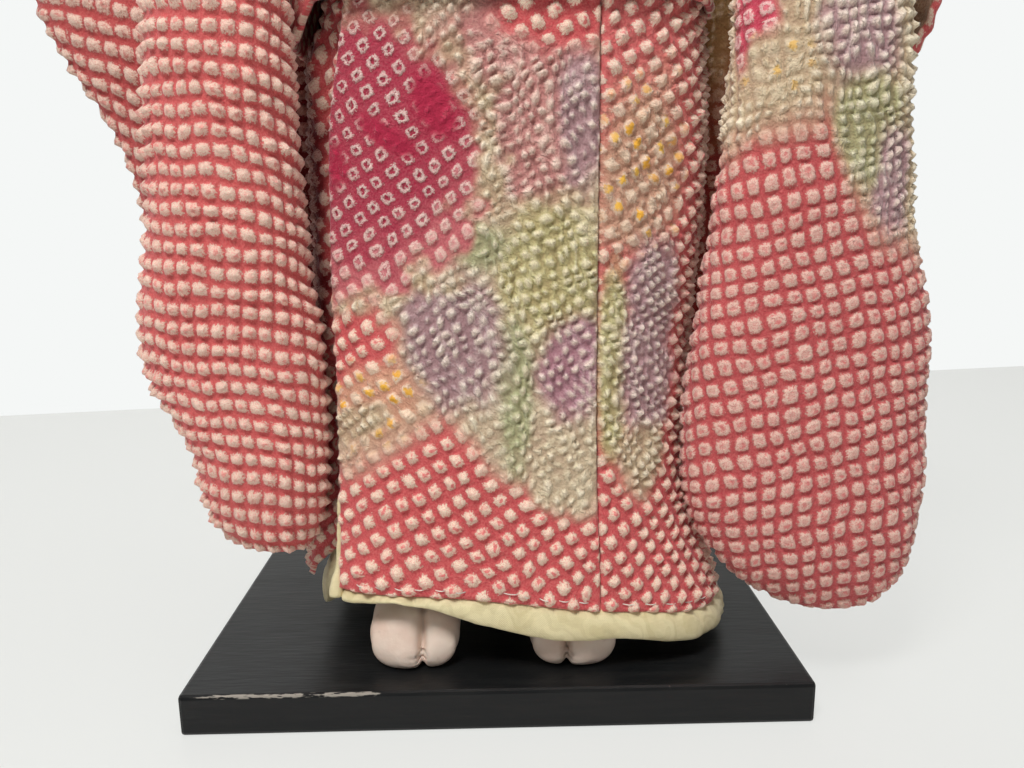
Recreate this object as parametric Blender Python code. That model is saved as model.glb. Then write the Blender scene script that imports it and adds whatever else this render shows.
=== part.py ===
"""Ichimatsu doll in a long-sleeved kimono, standing on a lacquered base board.

The row frame has its origin under the middle of the base board, +Z up and the
doll facing -Y. The doll itself is built in its own frame, whose zero height is
the board's top, and hangs under one empty that stands there.

Names follow the viewer: the right sleeve is the one at +X. Directions around
the body are turns: 0 degrees is +X, 90 degrees is the front, 180 degrees is -X.
"""

import math

import bmesh
import bpy
import numpy as np

MM = 0.001

# Base board and post
BOARD_WIDTH = 0.190
BOARD_DEPTH = 0.140
BOARD_THICKNESS = 0.013
BOARD_EDGE_ROUND = 0.0012
POST_RADIUS = 0.004
POST_X = 0.003
POST_Y = 0.014

# Clearances
SEAT_GAP = 0.0003
LAYER_GAP = 0.0005
FOLD_GAP = 0.0008

# Cloth thicknesses
PANEL_THICKNESS = 0.0026
LINING_THICKNESS = 0.0018
OBI_THICKNESS = 0.0040
OBI_CORD_THICKNESS = 0.0025
OBI_SCARF_THICKNESS = 0.0036
COLLAR_THICKNESS = 0.0020

# Heights above the board's top
CALF_TOP = 0.082
TORSO_BOTTOM = 0.152
WAIST = 0.215
OBI_WIDTH = 0.047
OBI_CORD_WIDTH = 0.006
OBI_SCARF_WIDTH = 0.008
SHOULDER_COLLAR = 0.303
NECK_SEAM_RISE = 0.007
NECK_SEAM = SHOULDER_COLLAR + NECK_SEAM_RISE
TORSO_TOP = 0.303
HIP_FOLD_BOTTOM = 0.196
HIP_FOLD_BOTTOM_LEFT = 0.187
HIP_FOLD_BULGE = 0.0028
HIP_FOLD_LIP = 0.001
HIP_FOLD_LOW_ROUND = 0.004
HIP_FOLD_HIGH_ROUND = 0.007
LINING_BAND_TOP = 0.066

# Collars
COLLAR_RISE_SHARE = 0.11
COLLAR_START_TURN = math.radians(97.0)
COLLAR_SWEEP = math.radians(346.0)
COLLAR_STANDOFF = 0.0009
COLLAR_SCARF_GAP = 0.0009
KIMONO_COLLAR_WIDTH = 0.0105
UNDER_COLLAR_WIDTH = 0.0060

# Feet and legs
FOOT_X = (-0.026, 0.0235)
TABLE_CALF_TOP = 0.082
TOE_CLEFT_OFFSET = 0.0025
TOE_CLEFT_WIDTH = 0.0014
TOE_CLEFT_DEPTH = 0.012
TOE_CLEFT_MIDDLE = 0.02
TOE_CLEFT_HEIGHT = 0.06
THIGH_RADIUS = 0.0135

# Sewing lines round the skirt
GUSSET_SEAM_X = 0.031
SEAM_RADIUS = 0.05
SIDE_SEAM_RADIUS = 0.04
RIGHT_SIDE_SEAM = math.radians(-35.0)
LEFT_SIDE_SEAM = math.radians(188.0)
UNDER_PANEL_START = math.radians(86.0)
BACK_PANEL_END = math.radians(340.0)

# Head
HEAD_X = 0.002
HEAD_MIDDLE_Y = -0.0025
EYE_RADIUS = 0.005
EYE_SPACING = 0.023
EYE_BELOW_MIDDLE = 0.007
EYE_Y = -0.0325
HAIR_INNER_SCALE = 1.02
HAIR_OUTER_SCALE = 1.15
FRINGE_ABOVE_MIDDLE = 0.006
BOB_ABOVE_NECK = 0.012
FRINGE_HALF_ANGLE = math.radians(52.0)
HAIR_DOME_LEVELS = (394.0, 390.5, 385.0, 379.0, 372.0)

# Sleeve cuffs and hands
CUFF_HALF_WIDTH = 0.014
CUFF_HALF_HEIGHT = 0.026
CUFF_DEPTH = 0.0125
CUFF_WALL = 0.0030
CUFF_MOUTH_Y = -0.022
WRIST_SEAT = 0.77
HAND_RISE = 0.004
RIGHT_CUFF = (0.1249, 0.2066)
LEFT_CUFF = (-0.1494, 0.2330)
SLEEVE_FOLD_HALF_DEPTH = 0.0065
FOLD_END_SHARES = (0.5, 0.85, 1.0)

# Bow
BOW_WIDTH = 0.062
BOW_HEIGHT = 0.058
BOW_DEPTH = 0.018
BOW_EDGE_ROUND = 0.005

# Mesh density
TURN_STEP = math.radians(9.5)
SLEEVE_SIDES = 22
FLARE_ROW_STEP = 0.009

# Heights of the waist and the neck seam in the tables below (mm)
TABLE_MARKS = (215.0, 310.0)
# Dressed body: height, left, right, front, back (mm)
BODY_ROWS = (
    (-1, -70.0, 82.0, -67.0, 46.0),
    (11, -67.5, 77.5, -66.0, 44.0),
    (27, -66.0, 71.5, -63.5, 41.0),
    (47, -62.0, 65.0, -61.0, 38.0),
    (72, -60.0, 62.5, -59.0, 37.0),
    (97, -59.5, 64.0, -57.5, 36.0),
    (137, -59.0, 67.0, -57.0, 36.0),
    (177, -58.0, 66.5, -57.5, 36.0),
    (202, -56.0, 64.0, -56.0, 35.0),
    (222, -52.0, 59.0, -50.0, 32.0),
    (257, -49.0, 55.0, -47.0, 30.0),
    (282, -48.0, 52.0, -42.0, 28.0),
    (297, -40.0, 44.0, -34.0, 24.0),
    (307, -23.0, 27.0, -25.0, 18.0),
    (311, -13.0, 17.0, -18.0, 14.0),
)
# Levels of the bodice between the waist and the neck seam (mm)
BODICE_LEVELS = (235.0, 257.0, 275.0, 289.0, 299.0, 306.0)
# Squareness of the section: superellipse exponent at two heights
SQUARE_HEIGHTS = (0.215, 0.311)
SQUARE_VALUES = (3.0, 2.2)

# Left edge of the front overlap: height, x (mm)
OVERLAP_EDGE_ROWS = (
    (25, -50.0),
    (60, -48.5),
    (100, -48.0),
    (140, -47.0),
    (165, -45.0),
    (181, -42.0),
    (215, -36.0),
)
# Hem of the front panels: x, height (mm)
HEM_ROWS = (
    (-60, 25.5),
    (-35, 25.7),
    (-17, 25.6),
    (7, 23.4),
    (31, 20.2),
    (44, 18.5),
    (58, 15.5),
    (77, 11.2),
)
# Lower edge of the cream lining under it: x, height (mm)
LINING_HEM_ROWS = (
    (-60, 20.5),
    (-43, 22.0),
    (-26, 23.0),
    (-5, 17.3),
    (10, 13.3),
    (37, 10.8),
    (54, 6.5),
    (77, 6.0),
)
UNDER_HEM = 0.0210
UNDER_LINING_HEM = 0.0100
UNDER_HEM_LIFT = 0.0180
BACK_HEM = 0.0120
BACK_LINING_HEM = 0.0070

# Sleeve rolls: inner x, inner height, outer x, outer height, middle y, half depth (mm)
RIGHT_SLEEVE_ROWS = (
    (50.0, 299.0, 56.0, 300.0, -9.0, 4.0),
    (52.0, 292.0, 70.0, 291.0, -10.0, 8.0),
    (54.0, 280.0, 90.0, 276.0, -14.0, 11.0),
    (62.0, 258.0, 110.0, 252.0, -28.0, 12.5),
    (67.5, 228.0, 115.0, 226.0, -43.0, 14.0),
    (67.4, 196.0, 116.4, 196.0, -48.0, 15.0),
    (66.0, 160.0, 120.0, 160.0, -47.0, 15.5),
    (62.4, 125.0, 125.5, 128.0, -46.0, 16.0),
    (58.5, 98.0, 131.0, 108.0, -46.0, 16.5),
    (57.0, 77.0, 132.0, 76.0, -46.0, 16.5),
    (58.7, 51.0, 133.4, 52.0, -46.0, 16.0),
    (66.5, 35.5, 131.2, 32.0, -46.0, 14.5),
    (77.3, 23.6, 125.0, 19.5, -46.0, 11.5),
    (88.0, 16.5, 116.0, 13.2, -46.0, 8.0),
    (98.0, 12.0, 107.0, 11.0, -46.0, 3.5),
)
LEFT_SLEEVE_ROWS = (
    (-46.0, 299.0, -52.0, 300.0, -9.0, 4.0),
    (-48.0, 292.0, -66.0, 291.0, -10.0, 8.0),
    (-50.0, 280.0, -84.0, 274.0, -14.0, 11.0),
    (-58.0, 258.0, -92.0, 250.0, -28.0, 12.5),
    (-56.0, 228.0, -92.0, 226.0, -44.0, 14.5),
    (-53.4, 196.0, -92.8, 196.0, -50.0, 15.5),
    (-53.2, 160.0, -97.0, 158.0, -48.0, 16.0),
    (-52.6, 122.0, -101.0, 126.0, -47.0, 16.5),
    (-50.2, 107.0, -104.5, 108.0, -46.0, 16.5),
    (-49.2, 85.0, -102.0, 88.0, -46.0, 16.5),
    (-49.6, 68.0, -93.3, 70.0, -46.0, 16.0),
    (-51.0, 55.0, -90.2, 54.0, -46.0, 15.0),
    (-53.5, 43.0, -85.0, 43.0, -46.0, 12.0),
    (-58.0, 36.5, -77.0, 37.0, -46.0, 8.0),
    (-63.5, 34.2, -70.0, 34.0, -46.0, 3.5),
)
# Rear folds of the sleeves: inner x, inner height, outer x, outer height (mm)
RIGHT_FOLD_ROWS = (
    (64.0, 288.0, 72.0, 289.0),
    (66.0, 280.0, 84.0, 280.0),
    (70.0, 264.0, 99.0, 262.0),
    (76.0, 246.0, 110.0, 243.0),
    (80.0, 226.0, 111.2, 224.0),
    (80.0, 205.0, 111.2, 205.0),
    (80.0, 192.0, 111.0, 190.0),
    (84.0, 182.0, 107.0, 180.0),
    (92.0, 177.0, 100.0, 176.0),
)
LEFT_FOLD_ROWS = (
    (-60.0, 288.0, -68.0, 290.0),
    (-62.0, 281.0, -88.0, 282.0),
    (-66.0, 266.0, -118.0, 268.0),
    (-70.0, 250.0, -133.0, 254.0),
    (-70.0, 234.0, -135.0, 238.0),
    (-68.0, 220.0, -135.1, 222.0),
    (-68.0, 204.0, -135.1, 204.0),
    (-70.0, 184.0, -128.7, 186.0),
    (-72.0, 168.0, -118.5, 168.0),
    (-76.0, 150.0, -112.0, 150.0),
    (-84.0, 134.0, -109.0, 134.0),
    (-92.0, 124.0, -103.0, 124.0),
)

# Foot and calf: middle y, middle height, tilt in degrees, half width, half thickness (mm)
LEG_ROWS = (
    (-59.4, 4.6, 0.0, 5.0, 2.8),
    (-57.8, 5.6, 0.0, 10.4, 5.3),
    (-54.0, 8.2, 4.0, 13.4, 8.3),
    (-48.0, 10.2, 8.0, 14.0, 10.4),
    (-41.0, 12.0, 15.0, 13.5, 12.4),
    (-33.0, 14.0, 28.0, 12.5, 15.0),
    (-25.0, 16.0, 48.0, 11.5, 19.0),
    (-22.0, 25.0, 72.0, 11.0, 14.0),
    (-22.0, 36.0, 88.0, 10.5, 11.5),
    (-22.0, 50.0, 90.0, 11.0, 11.0),
    (-22.0, 66.0, 90.0, 12.0, 12.0),
    (-22.0, 82.0, 90.0, 12.5, 12.5),
)

# Head and neck: height, half width, front, back (mm)
HEAD_ROWS = (
    (303.0, 9.5, -14.0, 5.0),
    (316.0, 9.5, -14.5, 5.0),
    (322.0, 12.0, -22.0, 8.0),
    (326.0, 17.0, -31.0, 12.0),
    (334.0, 25.0, -36.0, 18.0),
    (345.0, 30.5, -37.0, 26.0),
    (358.0, 33.0, -36.5, 31.0),
    (372.0, 32.5, -35.0, 32.0),
    (383.0, 27.0, -29.0, 28.0),
    (390.0, 18.0, -20.0, 20.0),
    (394.0, 8.0, -9.0, 10.0),
)

# Hand: distance from the wrist's end, half height, half thickness (mm)
HAND_ROWS = (
    (0.0, 6.5, 5.5),
    (9.0, 6.8, 5.4),
    (17.0, 8.6, 5.2),
    (26.0, 9.0, 4.4),
    (34.0, 7.2, 3.2),
    (38.0, 3.0, 1.6),
)

# Materials: colour, roughness
FINISHES = {
    "lacquer": ((0.018, 0.019, 0.019), 0.35),
    "steel": ((0.50, 0.50, 0.52), 0.30),
    "gofun": ((0.78, 0.68, 0.65), 0.35),
    "stuffed_cloth": ((0.75, 0.72, 0.66), 0.90),
    "crepe": ((0.72, 0.22, 0.22), 0.85),
    "silk_lining": ((0.70, 0.62, 0.40), 0.60),
    "collar_silk": ((0.86, 0.84, 0.80), 0.70),
    "obi_brocade": ((0.70, 0.52, 0.25), 0.60),
    "obi_cord_silk": ((0.15, 0.33, 0.20), 0.60),
    "obi_scarf_silk": ((0.80, 0.35, 0.20), 0.70),
    "eye_glass": ((0.02, 0.012, 0.010), 0.05),
    "hair": ((0.008, 0.007, 0.008), 0.40),
}


class Curve:
    """A smooth curve through rows of numbers in millimetres.

    The first column is the argument. Between two rows it is a cubic Hermite
    curve whose slopes are the central differences at the rows.
    """

    def __init__(self, rows):
        data = np.array(sorted(rows), dtype=float) * MM
        self.knots = data[:, 0]
        self.values = data[:, 1:]
        self.slopes = np.gradient(self.values, self.knots, axis=0)

    def at(self, where):
        """The values at each argument, as an array with one more axis."""
        where = np.clip(np.asarray(where, dtype=float), self.knots[0], self.knots[-1])
        index = np.clip(np.searchsorted(self.knots, where) - 1, 0, len(self.knots) - 2)
        span = (self.knots[index + 1] - self.knots[index])[..., None]
        part = (where - self.knots[index])[..., None] / span
        start = self.values[index]
        end = self.values[index + 1]
        slope_start = self.slopes[index] * span
        slope_end = self.slopes[index + 1] * span
        return (
            start * (1 + 2 * part) * (1 - part) ** 2
            + slope_start * part * (1 - part) ** 2
            + end * part**2 * (3 - 2 * part)
            - slope_end * part**2 * (1 - part)
        )


TABLE_WAIST, TABLE_NECK = (mark * MM for mark in TABLE_MARKS)
BODY = Curve(BODY_ROWS)
OVERLAP_EDGE = Curve(OVERLAP_EDGE_ROWS)
HEM = Curve(HEM_ROWS)
LINING_HEM = Curve(LINING_HEM_ROWS)
HEAD = Curve(HEAD_ROWS)

# Head's widest level and what is set from it, in the tables' heights
HEAD_MIDDLE_HEIGHT = max(HEAD_ROWS, key=lambda row: row[1])[0] * MM
EYE_HEIGHT = HEAD_MIDDLE_HEIGHT - EYE_BELOW_MIDDLE
FRINGE_HEIGHT = HEAD_MIDDLE_HEIGHT + FRINGE_ABOVE_MIDDLE
BOB_HEIGHT = TABLE_NECK + BOB_ABOVE_NECK


def signed_power(value, power):
    """|value| to a power, with the sign of value."""
    return np.sign(value) * np.abs(value) ** power


def placed(height):
    """Height on this doll of a point at a table's height.

    Heights stretch evenly from the board to the waist and from there to the neck
    seam, and what is above the neck moves with it.
    """
    height = np.asarray(height, dtype=float)
    above = np.maximum(height - TABLE_NECK, 0.0)
    return np.interp(height, (0.0, TABLE_WAIST, TABLE_NECK), (0.0, WAIST, NECK_SEAM)) + above


def drawn(height):
    """Table's height of a point at a height on this doll, the inverse of placed."""
    above = np.maximum(height - NECK_SEAM, 0.0)
    below = np.minimum(height, 0.0)
    inside = np.interp(height, (0.0, WAIST, NECK_SEAM), (0.0, TABLE_WAIST, TABLE_NECK))
    return inside + above + below


def body_section(height):
    """Middle x, middle y, half width, half depth and squareness at a height."""
    level = drawn(height)
    left, right, front, back = np.moveaxis(BODY.at(level), -1, 0)
    square = np.interp(level, SQUARE_HEIGHTS, SQUARE_VALUES)
    return (left + right) / 2, (front + back) / 2, (right - left) / 2, (back - front) / 2, square


def body_point(height, turn, inset):
    """A point on the dressed body's surface, moved inwards by inset.

    x = middle + (half width - inset) cos(turn)^(2/n) and likewise for y, with
    the signs kept, where n is the squareness.
    """
    height, turn = np.broadcast_arrays(np.asarray(height, float), np.asarray(turn, float))
    middle_x, middle_y, half_width, half_depth, square = body_section(height)
    x = middle_x + (half_width - inset) * signed_power(np.cos(turn), 2 / square)
    y = middle_y - (half_depth - inset) * signed_power(np.sin(turn), 2 / square)
    return np.stack([x, y, height], axis=-1)


def front_turn(height, x, inset):
    """The turn at which the front half of the body has a given x."""
    middle_x, _, half_width, _, square = body_section(np.asarray(height, float))
    part = np.clip((x - middle_x) / (half_width - inset), -0.999, 0.999)
    return np.arccos(signed_power(part, square / 2))


def make_material(name):
    """A Principled material from the table of finishes."""
    if name in bpy.data.materials:
        return bpy.data.materials[name]
    colour, roughness = FINISHES[name]
    material = bpy.data.materials.new(name)
    material.use_nodes = True
    shader = material.node_tree.nodes["Principled BSDF"]
    shader.inputs["Base Color"].default_value = (*colour, 1.0)
    shader.inputs["Roughness"].default_value = roughness
    shader.inputs["Metallic"].default_value = 1.0 if name == "steel" else 0.0
    return material


def add_object(name, mesh, material, parent, smooth=True):
    """Link a mesh as a named object under a parent."""
    mesh.materials.append(make_material(material))
    if smooth:
        mesh.shade_smooth()
        mesh.set_sharp_from_angle(angle=math.radians(50.0))
    item = bpy.data.objects.new(name, mesh)
    bpy.context.scene.collection.objects.link(item)
    item.parent = parent
    return item


def mesh_from(name, vertices, faces):
    """A mesh with its faces turned outwards."""
    mesh = bpy.data.meshes.new(name)
    mesh.from_pydata([tuple(point) for point in vertices], [], faces)
    work = bmesh.new()
    work.from_mesh(mesh)
    bmesh.ops.recalc_face_normals(work, faces=work.faces)
    work.to_mesh(mesh)
    work.free()
    return mesh


def sheet_mesh(name, outer, inner):
    """A closed sheet between two grids of points with the same layout."""
    rows, columns = outer.shape[:2]
    count = rows * columns
    vertices = np.concatenate([outer.reshape(-1, 3), inner.reshape(-1, 3)])
    index = np.arange(count).reshape(rows, columns)
    faces = []
    for row in range(rows - 1):
        for column in range(columns - 1):
            a, b = index[row, column], index[row, column + 1]
            c, d = index[row + 1, column + 1], index[row + 1, column]
            faces.append((a, b, c, d))
            faces.append((d + count, c + count, b + count, a + count))
    border = list(index[0, :]) + list(index[1:, -1])
    border += list(index[-1, -2::-1]) + list(index[-2:0:-1, 0])
    for a, b in zip(border, border[1:] + border[:1]):
        faces.append((b, a, a + count, b + count))
    return mesh_from(name, vertices, faces)


def loft_mesh(name, rings, close_loop=False):
    """A closed skin over rings of points, capped by a point at each end.

    With close_loop the last ring joins the first, as in a tyre.
    """
    rings = np.asarray(rings)
    count, sides = rings.shape[:2]
    vertices = list(rings.reshape(-1, 3))
    faces = []
    spans = count if close_loop else count - 1
    for row in range(spans):
        low = row * sides
        high = ((row + 1) % count) * sides
        for side in range(sides):
            after = (side + 1) % sides
            faces.append((low + side, low + after, high + after, high + side))
    if not close_loop:
        for first in (0, (count - 1) * sides):
            vertices.append(rings.reshape(-1, 3)[first:first + sides].mean(axis=0))
            pole = len(vertices) - 1
            for side in range(sides):
                faces.append((pole, first + side, first + (side + 1) % sides))
    return mesh_from(name, vertices, faces)


def full_turns():
    """Turns once round the body."""
    count = round(math.tau / TURN_STEP)
    return np.arange(count) * math.tau / count


def columns_between(start, end):
    """A share from 0 to 1 for each column between two turns."""
    return np.linspace(0.0, 1.0, max(2, 1 + math.ceil(abs(end - start) / TURN_STEP)))


def shares_down(top, bottom):
    """Rows of a panel from top to bottom, closer together where the hem flares."""
    steps = max(2, 1 + round((LINING_BAND_TOP - bottom) / FLARE_ROW_STEP))
    flare = np.linspace(min(top, LINING_BAND_TOP), bottom, steps)
    if top <= LINING_BAND_TOP:
        heights = flare
    else:
        upper = np.linspace(top, LINING_BAND_TOP, 7)
        heights = np.concatenate([upper[:-1], flare])
    return (top - heights) / (top - bottom)


def add_panel(name, material, parent, turns, top, hem, inset, thickness):
    """A sewn panel that hangs on the body from a top height to its hem.

    turns(height) gives its two side edges and hem(x, turn) its lower edge.
    """
    middle_hem = float(hem(0.0, math.pi / 2))
    share_down = shares_down(top, middle_hem)
    nominal = top + (middle_hem - top) * share_down
    start, end = turns(nominal)
    across = columns_between(float(np.mean(start)), float(np.mean(end)))
    turn = start[:, None] + (end - start)[:, None] * across[None, :]
    x = body_point(nominal[:, None], turn, inset)[..., 0]
    height = top + (hem(x, turn) - top) * share_down[:, None]
    outer = body_point(height, turn, inset)
    inner = body_point(height, turn, inset + thickness)
    return add_object(name, sheet_mesh(name, outer, inner), material, parent)


def add_band(name, material, parent, section, bottom_shift=None):
    """A closed band round the body; section is a loop of (inset, height)."""
    turn = full_turns()
    rings = []
    for inset, height in section:
        level = np.full_like(turn, height)
        if bottom_shift is not None:
            level = bottom_shift(level, turn)
        rings.append(body_point(level, turn, inset))
    return add_object(name, loft_mesh(name, rings, close_loop=True), material, parent)


def bag_rings(rows, sides, square=2.3):
    """Rings of a soft bag: superellipses between the inner and outer edge points."""
    angle = np.arange(sides) * math.tau / sides
    rings = []
    for inner_x, inner_h, outer_x, outer_h, middle_y, half_depth in np.array(rows) * MM:
        share = 0.5 - 0.5 * signed_power(np.cos(angle), 2 / square)
        x = inner_x + (outer_x - inner_x) * share
        h = placed(inner_h + (outer_h - inner_h) * share)
        y = middle_y + half_depth * signed_power(np.sin(angle), 2 / square)
        rings.append(np.stack([x, y, h], axis=-1))
    return rings


def build_base():
    """Base board, resting on z = 0."""
    mesh = bpy.data.meshes.new("base_board")
    work = bmesh.new()
    bmesh.ops.create_cube(work, size=1.0)
    bmesh.ops.scale(work, vec=(BOARD_WIDTH, BOARD_DEPTH, BOARD_THICKNESS), verts=work.verts)
    work.to_mesh(mesh)
    work.free()
    board = add_object("base_board", mesh, "lacquer", None, smooth=False)
    board.location.z = BOARD_THICKNESS / 2
    bevel = board.modifiers.new("edge_round", "BEVEL")
    bevel.width = BOARD_EDGE_ROUND
    bevel.segments = 2


def build_post(doll):
    """Steel post from the board up to the torso's seat."""
    mesh = bpy.data.meshes.new("support_post")
    work = bmesh.new()
    length = TORSO_BOTTOM - 2 * SEAT_GAP
    bmesh.ops.create_cone(
        work, cap_ends=True, segments=16, radius1=POST_RADIUS, radius2=POST_RADIUS, depth=length
    )
    work.to_mesh(mesh)
    work.free()
    post = add_object("support_post", mesh, "steel", doll)
    post.location = (POST_X, POST_Y, SEAT_GAP + length / 2)


def leg_rings(sides=18):
    """Rings from the toe tip along the foot and up the calf."""
    angle = np.arange(sides) * math.tau / sides
    rings = []
    for middle_y, middle_h, tilt, half_width, half_thick in LEG_ROWS:
        lean = math.radians(tilt)
        up = half_thick * np.sin(angle)
        x = half_width * np.cos(angle)
        y = middle_y - up * math.sin(lean)
        h = middle_h + up * math.cos(lean)
        rings.append(np.stack([x, y, h], axis=-1) * MM)
    rings = np.array(rings)
    rings[..., 2] = np.clip(rings[..., 2] * CALF_TOP / TABLE_CALF_TOP, SEAT_GAP, None)
    return rings


def build_leg(doll, name, x, inner_side):
    """Lower leg with a foot split between the big toe and the others."""
    leg = add_object(name, loft_mesh(name, leg_rings()), "gofun", doll)
    leg.location.x = x
    toe_tip = LEG_ROWS[0][0] * MM
    mesh = bpy.data.meshes.new(name + "_cleft")
    work = bmesh.new()
    bmesh.ops.create_cube(work, size=1.0)
    size = (TOE_CLEFT_WIDTH, 2 * TOE_CLEFT_DEPTH, TOE_CLEFT_HEIGHT)
    bmesh.ops.scale(work, vec=size, verts=work.verts)
    work.to_mesh(mesh)
    work.free()
    cutter = bpy.data.objects.new(name + "_cleft", mesh)
    bpy.context.scene.collection.objects.link(cutter)
    cutter.parent = doll
    cutter.location = (x + inner_side * TOE_CLEFT_OFFSET, toe_tip, TOE_CLEFT_MIDDLE)
    cutter.hide_render = True
    cutter.display_type = "WIRE"
    cut = leg.modifiers.new("toe_cleft", "BOOLEAN")
    cut.object = cutter
    cut.operation = "DIFFERENCE"


def build_thigh(doll, name, x):
    """Stuffed cloth thigh between the calf and the torso."""
    calf_y = LEG_ROWS[-1][0] * MM
    angle = np.arange(16) * math.tau / 16
    rings = []
    bottom = CALF_TOP + SEAT_GAP
    top = TORSO_BOTTOM - SEAT_GAP
    for share, scale in ((0.0, 0.9), (0.15, 1.0), (0.85, 1.05), (1.0, 0.95)):
        radius = THIGH_RADIUS * scale
        height = np.full_like(angle, bottom + (top - bottom) * share)
        rings.append(np.stack([x + radius * np.cos(angle), calf_y + radius * np.sin(angle), height], -1))
    add_object(name, loft_mesh(name, rings), "stuffed_cloth", doll)


def build_torso(doll):
    """Torso that fills the bodice and is slimmer inside the skirt."""
    turn = full_turns()
    slim = 3 * PANEL_THICKNESS + 3 * LAYER_GAP
    full = PANEL_THICKNESS + 2 * LAYER_GAP
    rows = [(height, slim) for height in np.linspace(TORSO_BOTTOM, WAIST, 4)]
    rows += [(height, full) for height in np.linspace(WAIST + MM, float(placed(TORSO_TOP)), 8)]
    rings = [body_point(np.full_like(turn, height), turn, inset) for height, inset in rows]
    add_object("torso", loft_mesh("torso", rings), "stuffed_cloth", doll)


def build_skirt(doll):
    """Outer panels, the under panel, the back panel and their hem linings."""
    top = WAIST - SEAT_GAP
    second = PANEL_THICKNESS + LINING_THICKNESS + 2 * LAYER_GAP

    def front_hem(x, turn):
        return HEM.at(x)[..., 0]

    def front_lining_hem(x, turn):
        return LINING_HEM.at(x)[..., 0]

    def seam_turn(height):
        return front_turn(height, GUSSET_SEAM_X, 0.0)

    def gusset_edges(height):
        start = seam_turn(height) + SEAT_GAP / SEAM_RADIUS
        return start, front_turn(height, OVERLAP_EDGE.at(drawn(height))[..., 0], 0.0)

    def body_edges(height):
        return np.full_like(height, RIGHT_SIDE_SEAM), seam_turn(height)

    def front_edges(height):
        return np.full_like(height, RIGHT_SIDE_SEAM), gusset_edges(height)[1]

    def under_edges(height):
        return np.full_like(height, UNDER_PANEL_START), np.full_like(height, LEFT_SIDE_SEAM)

    def back_edges(height):
        start = np.full_like(height, LEFT_SIDE_SEAM + SEAT_GAP / SIDE_SEAM_RADIUS)
        return start, np.full_like(height, BACK_PANEL_END)

    def level(value):
        return lambda x, turn: np.full_like(np.asarray(x + turn, float), value)

    def lifted_in_front(value):
        """A hem that hangs at one height at the side and rises over the feet."""

        def hem(x, turn):
            share = np.clip((math.radians(165.0) - np.asarray(x * 0.0 + turn)) / math.radians(25.0), 0.0, 1.0)
            return value + UNDER_HEM_LIFT * share * share * (3.0 - 2.0 * share)

        return hem

    crepe = PANEL_THICKNESS
    add_panel("front_overlap_gusset", "crepe", doll, gusset_edges, top, front_hem, 0.0, crepe)
    add_panel("front_body_panel", "crepe", doll, body_edges, top, front_hem, 0.0, crepe)
    add_panel("under_panel", "crepe", doll, under_edges, top, lifted_in_front(UNDER_HEM), second, crepe)
    add_panel("back_panel", "crepe", doll, back_edges, top, level(BACK_HEM), second, crepe)

    band = LINING_BAND_TOP
    lining = LINING_THICKNESS
    under_front = PANEL_THICKNESS + LAYER_GAP
    under_second = second + PANEL_THICKNESS + LAYER_GAP
    add_panel(
        "front_hem_lining", "silk_lining", doll, front_edges, band, front_lining_hem, under_front, lining
    )
    add_panel(
        "under_hem_lining", "silk_lining", doll, under_edges, band, lifted_in_front(UNDER_LINING_HEM),
        under_second, lining,
    )
    add_panel(
        "back_hem_lining", "silk_lining", doll, back_edges, band, level(BACK_LINING_HEM),
        under_second, lining,
    )


def build_bodice(doll):
    """Upper part of the kimono, from the waist over the shoulders to the neck seam."""
    turn = full_turns()
    heights = [WAIST, *placed(np.array(BODICE_LEVELS) * MM), NECK_SEAM]
    outer = [body_point(np.full_like(turn, height), turn, 0.0) for height in heights]
    inner = [body_point(np.full_like(turn, height), turn, PANEL_THICKNESS) for height in heights]
    mesh = loft_mesh("bodice", outer + inner[::-1], close_loop=True)
    add_object("bodice", mesh, "crepe", doll)


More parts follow.
